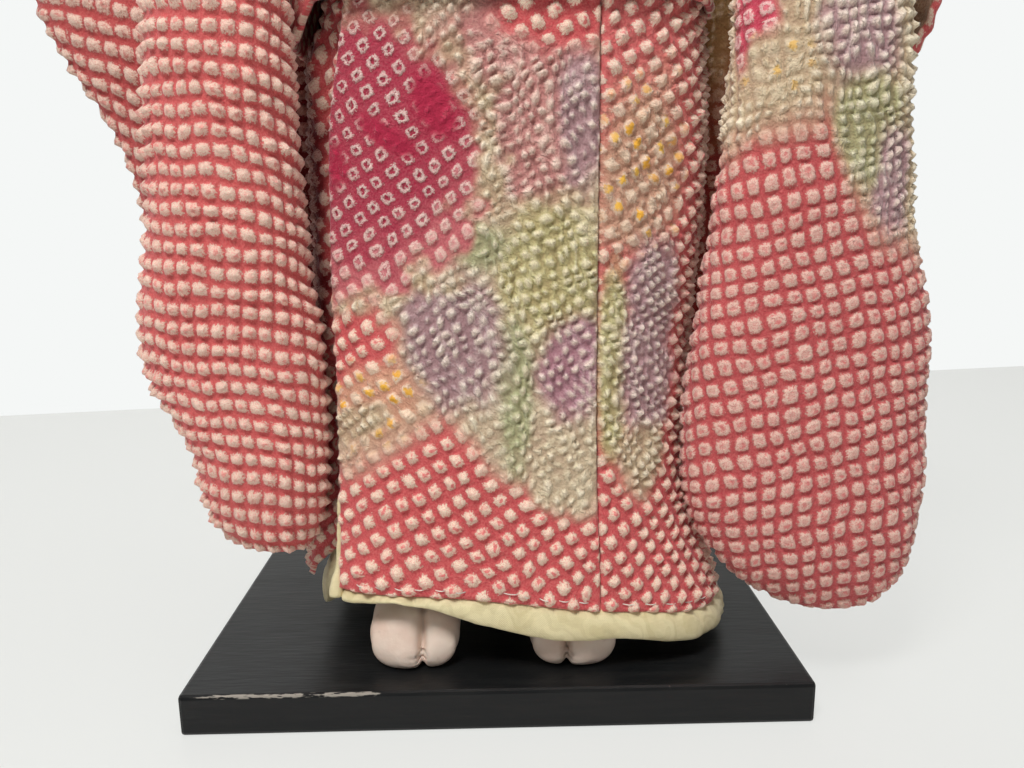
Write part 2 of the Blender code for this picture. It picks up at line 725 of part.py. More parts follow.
def build_waist_bands(doll):
    """Hip fold, obi, obi cord and obi scarf, one over the other."""
    low = HIP_FOLD_BOTTOM
    high = WAIST - SEAT_GAP
    bulge = HIP_FOLD_BULGE
    fold = (
        (-LAYER_GAP, low + HIP_FOLD_LIP),
        (-LAYER_GAP - 0.6 * bulge, low),
        (-LAYER_GAP - bulge, low + HIP_FOLD_LOW_ROUND),
        (-LAYER_GAP - bulge, high - HIP_FOLD_HIGH_ROUND),
        (-LAYER_GAP - 0.5 * bulge, high),
        (-LAYER_GAP, high),
    )

    def lower_on_the_left(level, turn):
        """The fold hangs lower where the front overlap does not cover it."""
        share = np.clip((np.degrees(turn) - 140.0) / 12.0, 0.0, 1.0)
        share = share * np.clip((210.0 - np.degrees(turn)) / 15.0, 0.0, 1.0)
        drop = (HIP_FOLD_BOTTOM - HIP_FOLD_BOTTOM_LEFT) * share
        return level - drop * (high - level) / (high - low)

    add_band("hip_fold", "crepe", doll, fold, lower_on_the_left)

    obi_low = WAIST + SEAT_GAP
    obi_high = obi_low + OBI_WIDTH
    outside = LAYER_GAP + OBI_THICKNESS
    obi = (
        (-LAYER_GAP, obi_low),
        (-outside, obi_low),
        (-outside, (obi_low + obi_high) / 2),
        (-outside, obi_high),
        (-LAYER_GAP, obi_high),
    )
    add_band("obi", "obi_brocade", doll, obi)

    middle = (obi_low + obi_high) / 2
    near = outside + LAYER_GAP
    far = near + OBI_CORD_THICKNESS
    cord = (
        (-near, middle - OBI_CORD_WIDTH / 2),
        (-far, middle - OBI_CORD_WIDTH / 3),
        (-far, middle + OBI_CORD_WIDTH / 3),
        (-near, middle + OBI_CORD_WIDTH / 2),
    )
    add_band("obi_cord", "obi_cord_silk", doll, cord)

    scarf_low = obi_high + SEAT_GAP
    scarf_high = scarf_low + OBI_SCARF_WIDTH
    scarf = (
        (-LAYER_GAP, scarf_low),
        (-LAYER_GAP - OBI_SCARF_THICKNESS, scarf_low + OBI_SCARF_WIDTH * 0.25),
        (-LAYER_GAP - OBI_SCARF_THICKNESS, scarf_low + OBI_SCARF_WIDTH * 0.7),
        (-LAYER_GAP, scarf_high),
    )
    add_band("obi_scarf", "obi_scarf_silk", doll, scarf)

    back = body_point(np.array(middle), np.array(1.5 * math.pi), -far)[1]
    mesh = bpy.data.meshes.new("obi_bow")
    work = bmesh.new()
    bmesh.ops.create_cube(work, size=1.0)
    bmesh.ops.scale(work, vec=(BOW_WIDTH, BOW_DEPTH, BOW_HEIGHT), verts=work.verts)
    work.to_mesh(mesh)
    work.free()
    bow = add_object("obi_bow", mesh, "obi_brocade", doll)
    bow.location = (HEAD_X, back + LAYER_GAP + BOW_DEPTH / 2, middle)
    bevel = bow.modifiers.new("soft_edges", "BEVEL")
    bevel.width = BOW_EDGE_ROUND
    bevel.segments = 3


def collar_heights(share):
    """Height of a collar's neck-side edge along its way round the neck."""
    rise = np.clip(np.minimum(share, 1.0 - share) / COLLAR_RISE_SHARE, 0.0, 1.0)
    rise = rise * rise * (3.0 - 2.0 * rise)
    scarf_top = WAIST + OBI_WIDTH + OBI_SCARF_WIDTH + 2 * SEAT_GAP
    start = scarf_top + COLLAR_SCARF_GAP + KIMONO_COLLAR_WIDTH + LAYER_GAP
    return start + (SHOULDER_COLLAR - start) * rise


def add_collar(name, material, doll, low_shift, high_shift):
    """A collar band round the neck between two shifts from the neck-side edge."""
    share = np.linspace(0.0, 1.0, 41)
    turn = COLLAR_START_TURN + share * COLLAR_SWEEP
    edge = collar_heights(share)
    levels = np.stack([edge + low_shift, edge + (low_shift + high_shift) / 2, edge + high_shift])
    turns = np.broadcast_to(turn, levels.shape)
    outer = body_point(levels, turns, -COLLAR_STANDOFF - COLLAR_THICKNESS)
    inner = body_point(levels, turns, -COLLAR_STANDOFF)
    add_object(name, sheet_mesh(name, outer, inner), material, doll)


def build_sleeves(doll):
    """Sleeve rolls, their rear folds, cuffs and hands."""
    sides = (
        ("right", RIGHT_SLEEVE_ROWS, RIGHT_FOLD_ROWS, RIGHT_CUFF),
        ("left", LEFT_SLEEVE_ROWS, LEFT_FOLD_ROWS, LEFT_CUFF),
    )
    for side, roll_rows, fold_rows, cuff in sides:
        roll = loft_mesh(side + "_sleeve", bag_rings(roll_rows, SLEEVE_SIDES))
        add_object(side + "_sleeve", roll, "crepe", doll)
        backs = [row[4] + row[5] for row in roll_rows[::-1]]
        rows = []
        count = len(fold_rows)
        for index, row in enumerate(fold_rows):
            edge = min(index, count - 1 - index)
            fold_half = SLEEVE_FOLD_HALF_DEPTH / MM * FOLD_END_SHARES[min(edge, 2)]
            roll_back = max(
                np.interp(row[1], [roll_row[edge_column] for roll_row in roll_rows[::-1]], backs)
                for edge_column in (1, 3)
            )
            y = roll_back + FOLD_GAP / MM + fold_half
            rows.append((*row, y, fold_half))
        fold = loft_mesh(side + "_sleeve_fold", bag_rings(rows, 16))
        add_object(side + "_sleeve_fold", fold, "crepe", doll)
        place = (cuff[0], float(placed(cuff[1])))
        build_cuff(doll, side, place)
        build_hand(doll, side, place)


def build_cuff(doll, side, cuff):
    """Cupped end of the sleeve, open to the front."""
    angle = np.arange(20) * math.tau / 20
    inner_scale = 1.0 - CUFF_WALL / CUFF_HALF_WIDTH
    inner_depth = CUFF_DEPTH - CUFF_WALL
    profile = [(math.sin(lean), CUFF_DEPTH * math.cos(lean)) for lean in np.radians((20, 45, 70, 90))]
    profile += [
        (inner_scale * math.sin(lean), inner_depth * math.cos(lean)) for lean in np.radians((90, 65, 40, 18))
    ]
    rings = []
    for scale, back in profile:
        x = cuff[0] + CUFF_HALF_WIDTH * scale * np.cos(angle)
        h = cuff[1] + CUFF_HALF_HEIGHT * scale * np.sin(angle)
        rings.append(np.stack([x, np.full_like(x, CUFF_MOUTH_Y + back), h], axis=-1))
    add_object(side + "_cuff", loft_mesh(side + "_cuff", rings), "crepe", doll)


def build_hand(doll, side, cuff):
    """Hand that reaches forwards out of the cuff."""
    angle = np.arange(14) * math.tau / 14
    wrist_y = CUFF_MOUTH_Y + WRIST_SEAT * (CUFF_DEPTH - CUFF_WALL)
    rings = []
    for distance, half_height, half_thick in HAND_ROWS:
        x = cuff[0] + half_thick * MM * np.cos(angle)
        h = cuff[1] + HAND_RISE + half_height * MM * np.sin(angle)
        rings.append(np.stack([x, np.full_like(x, wrist_y - distance * MM), h], axis=-1))
    add_object(side + "_hand", loft_mesh(side + "_hand", rings), "gofun", doll)


def head_ring(height, angle):
    """A horizontal ellipse of the head at a height."""
    half_width, front, back = HEAD.at(height)
    x = HEAD_X + half_width * np.cos(angle)
    y = (front + back) / 2 + (back - front) / 2 * np.sin(angle)
    return np.stack([x, y, np.full_like(x, height + NECK_SEAM - TABLE_NECK)], axis=-1)


def build_head(doll):
    """Head with its neck, eye sockets and glass eyes."""
    angle = np.arange(30) * math.tau / 30
    heights = [row[0] * MM for row in HEAD_ROWS]
    rings = np.array([head_ring(height, angle) for height in heights])
    rings[0, :, 2] = placed(TORSO_TOP) + SEAT_GAP
    head = add_object("head", loft_mesh("head", rings), "gofun", doll)
    for side, name in ((1, "right_eye"), (-1, "left_eye")):
        place = (HEAD_X + side * EYE_SPACING / 2, EYE_Y, EYE_HEIGHT + NECK_SEAM - TABLE_NECK)
        for label, radius in ((name, EYE_RADIUS), (name + "_socket", EYE_RADIUS + SEAT_GAP)):
            mesh = bpy.data.meshes.new(label)
            work = bmesh.new()
            bmesh.ops.create_uvsphere(work, u_segments=14, v_segments=9, radius=radius)
            work.to_mesh(mesh)
            work.free()
            ball = add_object(label, mesh, "eye_glass", doll)
            ball.location = place
        ball.hide_render = True
        ball.display_type = "WIRE"
        cut = head.modifiers.new("socket", "BOOLEAN")
        cut.object = ball
        cut.operation = "DIFFERENCE"


def build_hair(doll):
    """Bobbed wig: a shell over the crown with a fringe in front."""
    angle = np.arange(36) * math.tau / 36
    lift = NECK_SEAM - TABLE_NECK
    middle = np.array([HEAD_X, HEAD_MIDDLE_Y, HEAD_MIDDLE_HEIGHT + lift])
    from_front = np.abs((angle - 1.5 * math.pi + math.pi) % math.tau - math.pi)
    rim = np.where(from_front < FRINGE_HALF_ANGLE, FRINGE_HEIGHT, BOB_HEIGHT) + lift
    dome = np.array(HAIR_DOME_LEVELS) * MM
    shells = []
    for scale in (HAIR_OUTER_SCALE, HAIR_INNER_SCALE):
        rings = [middle + (head_ring(height, angle) - middle) * scale for height in dome]
        widest = middle + (head_ring(HEAD_MIDDLE_HEIGHT, angle) - middle) * scale
        for share in (0.25, 0.65, 1.0):
            ring = widest.copy()
            start = rings[len(dome) - 1][:, 2]
            ring[:, 2] = start + (rim - start) * share
            rings.append(ring)
        shells.append(rings)
    outer, inner = shells
    add_object("hair", loft_mesh("hair", outer + inner[::-1]), "hair", doll)


def main():
    """Remove what the scene holds and build the doll on its board."""
    for item in list(bpy.data.objects):
        bpy.data.objects.remove(item, do_unlink=True)
    doll = bpy.data.objects.new("doll", None)
    bpy.context.scene.collection.objects.link(doll)
    doll.location.z = BOARD_THICKNESS
    build_base()
    build_post(doll)
    for name, x, inner_side in (("left_leg", FOOT_X[0], 1), ("right_leg", FOOT_X[1], -1)):
        build_leg(doll, name, x, inner_side)
        build_thigh(doll, name.replace("leg", "thigh"), x)
    build_torso(doll)
    build_skirt(doll)
    build_bodice(doll)
    build_waist_bands(doll)
    add_collar("kimono_collar", "crepe", doll, -LAYER_GAP - KIMONO_COLLAR_WIDTH, -LAYER_GAP)
    add_collar("under_collar", "collar_silk", doll, 0.0, UNDER_COLLAR_WIDTH)
    build_sleeves(doll)
    build_head(doll)
    build_hair(doll)


main()
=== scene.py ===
"""Looks of an ichimatsu doll in a tie-dyed crepe kimono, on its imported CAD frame.

Lengths are in metres and the doll faces -Y. Tables of rows are in millimetres,
with heights above the base board's top. Turns go round the body: 0 degrees is
+X, 90 degrees is the front. The right sleeve is the one at +X.
"""

import itertools
import logging
import math
from collections.abc import Callable, Sequence
from dataclasses import dataclass, field
from enum import Enum

import bpy
import numpy as np
from mathutils import Matrix, Vector


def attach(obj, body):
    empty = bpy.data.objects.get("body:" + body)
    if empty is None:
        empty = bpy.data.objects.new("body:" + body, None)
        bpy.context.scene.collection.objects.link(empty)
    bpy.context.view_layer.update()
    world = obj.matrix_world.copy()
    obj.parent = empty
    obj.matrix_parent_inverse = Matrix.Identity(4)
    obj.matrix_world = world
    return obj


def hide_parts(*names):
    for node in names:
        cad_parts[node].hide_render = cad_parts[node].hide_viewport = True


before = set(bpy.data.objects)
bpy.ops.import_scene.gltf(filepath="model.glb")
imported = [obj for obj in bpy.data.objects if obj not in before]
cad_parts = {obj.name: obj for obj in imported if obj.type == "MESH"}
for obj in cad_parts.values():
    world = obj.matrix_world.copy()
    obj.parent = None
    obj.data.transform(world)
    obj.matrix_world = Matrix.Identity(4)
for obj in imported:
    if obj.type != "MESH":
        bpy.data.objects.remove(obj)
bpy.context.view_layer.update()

LOG = logging.getLogger("ichimatsu")

MM = 0.001
BOARD_TOP = 0.013
BOARD_FRONT = -0.070
WAIST = 0.215
OBI_HEIGHT = 0.047
SCARF_HEIGHT = 0.008
MIDDLE_X = 0.002
LEG_X = {"left": -0.026, "right": 0.0235}
LEG_Y = -0.022
BODY = "root"
PRIMES = np.array([73856093, 19349663, 83492791], dtype=np.int64)
SEED_STEP = 1013904223
HASH_FACTOR = 1274126177
SQUARE_SHARE = 0.55
ROUND_SHARE = 0.45
RING_REACH = 0.62

Grid = np.ndarray
Socket = bpy.types.NodeSocket
Node = bpy.types.Node
Material = bpy.types.Material
Item = bpy.types.Object
Pair = tuple[float, float]
Triple = tuple[float, float, float]
Rows = tuple[tuple[float, ...], ...]
Edge = Callable[[Grid], Grid]
Hem = Callable[[Grid, Grid], Grid]
Section = Callable[[Grid, Grid], tuple[Grid, Grid]]


def srgb(red: float, green: float, blue: float) -> Triple:
    """Linear colour of an sRGB colour written from 0 to 255."""
    share = np.array([red, green, blue]) / 255.0
    linear = np.where(share <= 0.04045, share / 12.92, ((share + 0.055) / 1.055) ** 2.4)
    return tuple(float(value) for value in linear)


def smooth(value: Grid) -> Grid:
    """Smoothstep 3t^2 - 2t^3 of a value held between 0 and 1."""
    held = np.clip(value, 0.0, 1.0)
    return held * held * (3.0 - 2.0 * held)


def signed_power(value: Grid, power: Grid | float) -> Grid:
    """|value| to a power, with the sign of value."""
    return np.sign(value) * np.abs(value) ** power


def noise(points: Grid, cell: float | Sequence[float], seed: int) -> Grid:
    """Smooth noise from -1 to 1.

    Hashed random numbers sit at the corners of a lattice with this cell. Between
    them each coordinate's fraction is eased with the smoothstep and the corners
    are averaged with the products of the eased fractions as weights.

    Args:
        points: Coordinates in the last axis, two or three of them.
        cell: Lattice spacing, one number or one for each coordinate.
        seed: Chooses the random numbers.

    Returns:
        One value for each point.
    """
    scaled = np.asarray(points, dtype=float) / np.asarray(cell, dtype=float)
    low = np.floor(scaled)
    part = smooth(scaled - low)
    low = low.astype(np.int64)
    size = scaled.shape[-1]
    total = np.zeros(scaled.shape[:-1])
    for corner in itertools.product((0, 1), repeat=size):
        step = np.array(corner)
        key = ((low + step) * PRIMES[:size]).sum(axis=-1) + seed * SEED_STEP
        key = (key ^ (key >> 13)) * HASH_FACTOR
        key = key ^ (key >> 16)
        value = (key & 0xFFFF) / 32767.5 - 1.0
        total += value * np.where(step == 1, part, 1.0 - part).prod(axis=-1)
    return total


class Curve:
    """Smooth curve through rows of numbers in millimetres.

    The first column is the argument. Between two rows it is a cubic Hermite
    curve whose slopes are the central differences at the rows.
    """

    def __init__(self, rows: Sequence[Sequence[float]], scale: float = MM) -> None:
        data = np.array(sorted(rows), dtype=float) * scale
        self.knots = data[:, 0]
        self.values = data[:, 1:]
        self.slopes = np.gradient(self.values, self.knots, axis=0)

    def at(self, where: Grid | float) -> Grid:
        """Values at each argument, as an array with one more axis."""
        where = np.clip(np.asarray(where, dtype=float), self.knots[0], self.knots[-1])
        index = np.clip(np.searchsorted(self.knots, where) - 1, 0, len(self.knots) - 2)
        span = (self.knots[index + 1] - self.knots[index])[..., None]
        part = (where - self.knots[index])[..., None] / span
        return (
            self.values[index] * (1 + 2 * part) * (1 - part) ** 2
            + self.slopes[index] * span * part * (1 - part) ** 2
            + self.values[index + 1] * part**2 * (3 - 2 * part)
            - self.slopes[index + 1] * span * part**2 * (1 - part)
        )

    def first(self, where: Grid | float) -> Grid:
        """First value column at each argument."""
        return self.at(where)[..., 0]


@dataclass(frozen=True)
class DressedBody:
    """Outer form of the dressed body: superellipse sections at each height."""

    rows: Rows = (
        (-1, -70.0, 82.0, -67.0, 46.0),
        (11, -67.5, 77.5, -66.0, 44.0),
        (27, -66.0, 71.5, -63.5, 41.0),
        (47, -62.0, 65.0, -61.0, 38.0),
        (72, -60.0, 62.5, -59.0, 37.0),
        (97, -59.5, 64.0, -57.5, 36.0),
        (137, -59.0, 67.0, -57.0, 36.0),
        (177, -58.0, 66.5, -57.5, 36.0),
        (202, -56.0, 64.0, -56.0, 35.0),
        (222, -52.0, 59.0, -50.0, 32.0),
        (257, -49.0, 55.0, -47.0, 30.0),
        (282, -48.0, 52.0, -42.0, 28.0),
        (297, -40.0, 44.0, -34.0, 24.0),
        (307, -23.0, 27.0, -25.0, 18.0),
        (311, -13.0, 17.0, -18.0, 14.0),
    )

    def section(self, height: Grid) -> tuple[Grid, ...]:
        """Middle x, middle y, half width, half depth and squareness at a height."""
        left, right, front, back = np.moveaxis(Curve(self.rows).at(height), -1, 0)
        square = np.interp(height, (0.215, 0.311), (3.0, 2.2))
        middle_x, middle_y = (left + right) / 2, (front + back) / 2
        return middle_x, middle_y, (right - left) / 2, (back - front) / 2, square

    def point(self, height: Grid, turn: Grid, inset: Grid | float) -> Grid:
        """Point on the form moved inwards by inset, in the row frame.

        x = middle + (half width - inset) cos(turn)^(2/n), y the same with the
        sine and the front negative, n being the squareness; z = height + board.
        """
        height, turn = np.broadcast_arrays(np.asarray(height, float), np.asarray(turn, float))
        middle_x, middle_y, half_width, half_depth, square = self.section(height)
        x = middle_x + (half_width - inset) * signed_power(np.cos(turn), 2 / square)
        y = middle_y - (half_depth - inset) * signed_power(np.sin(turn), 2 / square)
        return np.stack([x, y, height + BOARD_TOP], axis=-1)

    def front_turn(self, height: Grid, x: Grid | float) -> Grid:
        """Turn at which the front half of the form has a given x."""
        middle_x, _, half_width, _, square = self.section(np.asarray(height, float))
        part = np.clip((x - middle_x) / half_width, -0.999, 0.999)
        return np.arccos(signed_power(part, square / 2))


FORM = DressedBody()
OVERLAP_EDGE = Curve(
    ((25, -50), (60, -49.0), (86, -49.0), (115, -49.2), (140, -48.8), (167, -46.8), (181, -43.8), (215, -37))
)
FRONT_HEM = Curve(
    ((-60, 25.5), (-35, 25.7), (-17, 25.6), (7, 23.4), (31, 20.2), (44, 18.5), (58, 15.5), (77, 11.2))
)
LINING_HEM = Curve(
    ((-60, 20.5), (-43, 22.0), (-26, 23.0), (-5, 17.3), (10, 13.3), (37, 10.8), (54, 6.5), (77, 6.0))
)


# Meshes


def full_turn(count: int) -> Grid:
    """Even angles of a full turn."""
    return np.arange(count) * math.tau / count


def travel(points: Grid, axis: int = 0) -> Grid:
    """Length run along an axis of a grid of points, starting at 0."""
    steps = np.linalg.norm(np.diff(points, axis=axis), axis=-1)
    start = np.zeros_like(steps.take([0], axis=axis))
    return np.concatenate([start, np.cumsum(steps, axis=axis)], axis=axis)


def wrapped(values: Grid, axis: int = 1) -> Grid:
    """Array with its first row or column repeated at its end."""
    return np.concatenate([values, values.take([0], axis=axis)], axis=axis)


def seam_fade(columns: int) -> Grid:
    """0 at the back seam of a closed ring of columns, 1 from four columns away."""
    number = np.arange(columns)
    return smooth(np.minimum(number, columns - number) / 4.0)


def outward(grid: Grid, closed: bool = False) -> Grid:
    """Unit normals of a grid of points, pointing away from the grid's middle.

    The normal is the cross product of the central differences along both
    parameters; with closed the columns run round and the last meets the first.
    """
    if closed:
        across = np.roll(grid, -1, axis=1) - np.roll(grid, 1, axis=1)
    else:
        across = np.gradient(grid, axis=1)
    normal = np.cross(across, np.gradient(grid, axis=0))
    normal /= np.maximum(np.linalg.norm(normal, axis=-1, keepdims=True), 1e-12)
    middle = grid.reshape(-1, 3).mean(axis=0)
    side = np.sum(normal * (grid - middle))
    return normal if side >= 0 else -normal


class Skin:
    """Vertices, faces and paint of one piece, gathered as whole arrays."""

    LAYERS = ("ground", "dot", "marks")

    def __init__(self) -> None:
        self.points: list[Grid] = []
        self.cells: list[Grid] = []
        self.paint: dict[str, list[Grid]] = {layer: [] for layer in self.LAYERS}
        self.corners: list[Grid] = []
        self.sizes: list[Grid] = []
        self.shifts: list[Grid] = []
        self.count = 0

    def add(self, grid: Grid, cells: Grid | None = None, **paint: Grid) -> Grid:
        """Add a grid of points.

        Args:
            grid: Points in the last axis.
            cells: Two pattern coordinates for each point.
            paint: Colours with four channels for any of the layers.

        Returns:
            The vertices' numbers, in the grid's layout.
        """
        shape = grid.shape[:-1]
        size = int(np.prod(shape))
        self.points.append(grid.reshape(size, 3))
        placed = np.zeros((size, 2)) if cells is None else cells.reshape(size, 2)
        self.cells.append(placed)
        for layer in self.LAYERS:
            value = paint.get(layer)
            filled = np.zeros(4) if value is None else value
            self.paint[layer].append(np.broadcast_to(filled, (*shape, 4)).reshape(size, 4))
        number = np.arange(self.count, self.count + size).reshape(shape)
        self.count += size
        return number

    def quads(self, number: Grid, shift: Grid | None = None) -> None:
        """Four-sided faces over a grid of vertex numbers; shift moves the pattern at a seam."""
        def gather(values: Grid) -> Grid:
            parts = (values[:-1, :-1], values[:-1, 1:], values[1:, 1:], values[1:, :-1])
            return np.stack(parts, axis=2)

        faces = gather(number).reshape(-1)
        moved = np.zeros((len(faces), 2)) if shift is None else gather(shift).reshape(-1, 2)
        self.corners.append(faces)
        self.sizes.append(np.full(len(faces) // 4, 4))
        self.shifts.append(moved)

    def polygons(self, faces: Sequence[Grid]) -> None:
        """Faces of any number of corners."""
        corners = np.concatenate([np.asarray(face) for face in faces])
        self.corners.append(corners)
        self.sizes.append(np.array([len(face) for face in faces]))
        self.shifts.append(np.zeros((len(corners), 2)))

    def fan(self, ring: Grid, pole: int, over: bool) -> None:
        """Triangles from a pole to a closed ring; over turns them round."""
        after = np.roll(ring, -1)
        pair = (after, ring) if over else (ring, after)
        faces = np.stack([np.full_like(ring, pole), *pair], axis=1)
        self.corners.append(faces.reshape(-1))
        self.sizes.append(np.full(len(ring), 3))
        self.shifts.append(np.zeros((faces.size, 2)))

    def to_object(self, name: str, material: Material) -> Item:
        """Make the mesh object, with every face turned outwards.

        The signed volume is a third of the sum over faces of a corner times the
        face's area vector; where it is negative all loops are reversed.
        """
        points = np.concatenate(self.points)
        corners = np.concatenate(self.corners)
        sizes = np.concatenate(self.sizes)
        shifts = np.concatenate(self.shifts)
        starts = np.concatenate([[0], np.cumsum(sizes)[:-1]])
        after = np.arange(len(corners)) + 1
        after[starts + sizes - 1] = starts
        area = np.add.reduceat(np.cross(points[corners], points[corners[after]]), starts, axis=0)
        if np.sum(area * points[corners[starts]]) < 0:
            corners, sizes, shifts = corners[::-1], sizes[::-1], shifts[::-1]
            starts = np.concatenate([[0], np.cumsum(sizes)[:-1]])
        mesh = bpy.data.meshes.new(name)
        mesh.vertices.add(len(points))
        mesh.vertices.foreach_set("co", points.astype(np.float32).ravel())
        mesh.loops.add(len(corners))
        mesh.loops.foreach_set("vertex_index", corners.astype(np.int32))
        mesh.polygons.add(len(sizes))
        mesh.polygons.foreach_set("loop_start", starts.astype(np.int32))
        mesh.update(calc_edges=True)
        mesh.shade_smooth()
        layout = mesh.uv_layers.new(name="cells")
        placed = np.concatenate(self.cells)[corners] + shifts
        layout.uv.foreach_set("vector", placed.astype(np.float32).ravel())
        for layer, values in self.paint.items():
            attribute = mesh.attributes.new(name=layer, type="FLOAT_COLOR", domain="POINT")
            attribute.data.foreach_set("color", np.concatenate(values).astype(np.float32).ravel())
        mesh.materials.append(material)
        item = bpy.data.objects.new(name, mesh)
        bpy.context.scene.collection.objects.link(item)
        LOG.info("%s: %d vertices, %d faces", name, len(points), len(sizes))
        return item


def closed_sheet(skin: Skin, outer: Grid, inner: Grid, step: int, **paint: Grid) -> None:
    """Closed sheet of cloth: a fine outer grid, a rim, and an inner grid step times coarser.

    The inner side keeps every vertex of its border, so its border faces have
    many corners and the sheet stays closed.

    Args:
        skin: Takes the faces.
        outer: Fine grid of points; rows - 1 and columns - 1 are multiples of step.
        inner: Points of the inner side in the same layout.
        step: How many fine cells one inner face spans.
        paint: cells, ground, dot and marks of the outer side; the inner takes them too.
    """
    rows, columns = outer.shape[:2]
    number = skin.add(outer, **paint)
    skin.quads(number)
    kept = np.zeros((rows, columns), dtype=bool)
    kept[::step, ::step] = True
    kept[[0, -1], :] = True
    kept[:, [0, -1]] = True
    below = np.full((rows, columns), -1)
    below[kept] = skin.add(inner[kept], **{key: value[kept] for key, value in paint.items()})

    def border(values: Grid) -> Grid:
        sides = (values[0, :-1], values[:-1, -1], values[-1, :0:-1], values[:0:-1, 0])
        return np.concatenate(sides)

    skin.quads(wrapped(np.stack([border(below), border(number)])))
    faces = []
    for top in range(0, rows - 1, step):
        low = top + step
        for left in range(0, columns - 1, step):
            right = left + step
            near, far = below[top:low, left], below[low:top:-1, right]
            loop = np.concatenate([near, below[low, left:right], far, below[top, right:left:-1]])
            faces.append(loop[loop >= 0])
    skin.polygons(faces)


def loft(skin: Skin, grid: Grid, shift: Grid | None = None, **paint: Grid) -> None:
    """Skin over closed rings of points, with a point that closes each end.

    Args:
        skin: Takes the faces.
        grid: One ring of points in each row.
        shift: Moves the pattern at the seam; one column wider than the grid.
        paint: cells, ground, dot and marks.
    """
    number = skin.add(grid, **paint)
    skin.quads(wrapped(number), shift)
    for row, over in ((0, True), (-1, False)):
        tip = {key: value[row].mean(axis=0)[None] for key, value in paint.items()}
        pole = skin.add(grid[row].mean(axis=0)[None], **tip)
        skin.fan(number[row], int(pole[0]), over)


def tube(skin: Skin, path: Grid, radius: Grid | float, sides: int) -> None:
    """Round tube along a path of points.

    Each ring is the path's point plus radius times (cos, sin) in the plane of two
    vectors at right angles to the path's direction.
    """
    along = np.gradient(path, axis=0)
    along /= np.linalg.norm(along, axis=1, keepdims=True)
    helper = np.where(np.abs(along[:, 2:3]) < 0.8, [[0.0, 0.0, 1.0]], [[0.0, 1.0, 0.0]])
    side = np.cross(along, helper)
    side /= np.linalg.norm(side, axis=1, keepdims=True)
    over = np.cross(side, along)
    angle = full_turn(sides)[None, :, None]
    thick = np.broadcast_to(radius, (len(path),))[:, None, None]
    ring = np.cos(angle) * side[:, None] + np.sin(angle) * over[:, None]
    loft(skin, path[:, None] + thick * ring)


# Node helpers


class Desk:
    """Places and links nodes in one node tree."""

    def __init__(self, tree: bpy.types.NodeTree) -> None:
        self.tree = tree

    def node(self, kind: str, **settings: object) -> Node:
        """New node with its settings."""
        made = self.tree.nodes.new(kind)
        for key, value in settings.items():
            setattr(made, key, value)
        return made

    def feed(self, socket: Socket, value: object) -> None:
        """Link a socket to an output, or set its value."""
        if isinstance(value, bpy.types.NodeSocket):
            self.tree.links.new(value, socket)
        elif socket.type == "RGBA" and isinstance(value, tuple):
            socket.default_value = (*value[:3], 1.0)
        else:
            socket.default_value = value

    def maths(self, operation: str, *values: object) -> Socket:
        """Math node of one to three values."""
        made = self.node("ShaderNodeMath", operation=operation)
        for socket, value in zip(made.inputs, values):
            self.feed(socket, value)
        return made.outputs[0]

    def plus(self, first: object, second: object) -> Socket:
        """Sum of two values."""
        return self.maths("ADD", first, second)

    def minus(self, first: object, second: object) -> Socket:
        """Difference of two values."""
        return self.maths("SUBTRACT", first, second)

    def times(self, first: object, second: object) -> Socket:
        """Product of two values."""
        return self.maths("MULTIPLY", first, second)

    def split(self, value: Socket, kind: str = "XYZ") -> tuple[Socket, ...]:
        """The three components of a vector, or of a colour."""
        made = self.node("ShaderNodeSeparate" + kind)
        self.feed(made.inputs[0], value)
        return tuple(made.outputs)

    def wire(self, node: Node, **values: object) -> None:
        """Feed a node's inputs by name, with _ for a space."""
        for name, value in values.items():
            self.feed(node.inputs[name.replace("_", " ")], value)

    def vector(self, operation: str, *values: object) -> Socket:
        """Vector Math node."""
        made = self.node("ShaderNodeVectorMath", operation=operation)
        for socket, value in zip(made.inputs, values):
            self.feed(socket, value)
        return made.outputs["Value" if operation == "LENGTH" else "Vector"]

    def mix(self, share: object, low: object, high: object, blend: str = "MIX") -> Socket:
        """Colour between two colours."""
        made = self.node("ShaderNodeMix", data_type="RGBA", blend_type=blend)
        for index, value in ((0, share), (6, low), (7, high)):
            self.feed(made.inputs[index], value)
        return made.outputs[2]

    def ease(self, value: object, start: float, stop: float, low: float = 0.0, high: float = 1.0) -> Socket:
        """Smoothstep of a value between start and stop."""
        made = self.node("ShaderNodeMapRange", interpolation_type="SMOOTHSTEP")
        for socket, number in zip(made.inputs, (value, start, stop, low, high)):
            self.feed(socket, number)
        return made.outputs[0]

    def cloud(self, vector: object, scale: float, detail: float = 2.0, colour: bool = False) -> Socket:
        """Noise texture."""
        made = self.node("ShaderNodeTexNoise")
        self.wire(made, Vector=vector, Scale=scale, Detail=detail)
        return made.outputs["Color" if colour else 0]

    def place(self) -> Socket:
        """Object coordinates."""
        return self.node("ShaderNodeTexCoord").outputs["Object"]

    def cells(self) -> Socket:
        """Pattern coordinates of the mesh."""
        return self.node("ShaderNodeUVMap", uv_map="cells").outputs[0]

    def layer(self, name: str) -> Node:
        """Attribute node of one paint layer."""
        return self.node("ShaderNodeAttribute", attribute_name=name)

    def scaled(self, vector: object, factors: Sequence[float]) -> Socket:
        """Vector times one factor for each axis."""
        return self.vector("MULTIPLY", vector, tuple(factors))

    def use(self, group: bpy.types.NodeTree, **values: object) -> Node:
        """Place a node group and feed its inputs."""
        made = self.node("ShaderNodeGroup", node_tree=group)
        self.wire(made, **values)
        return made


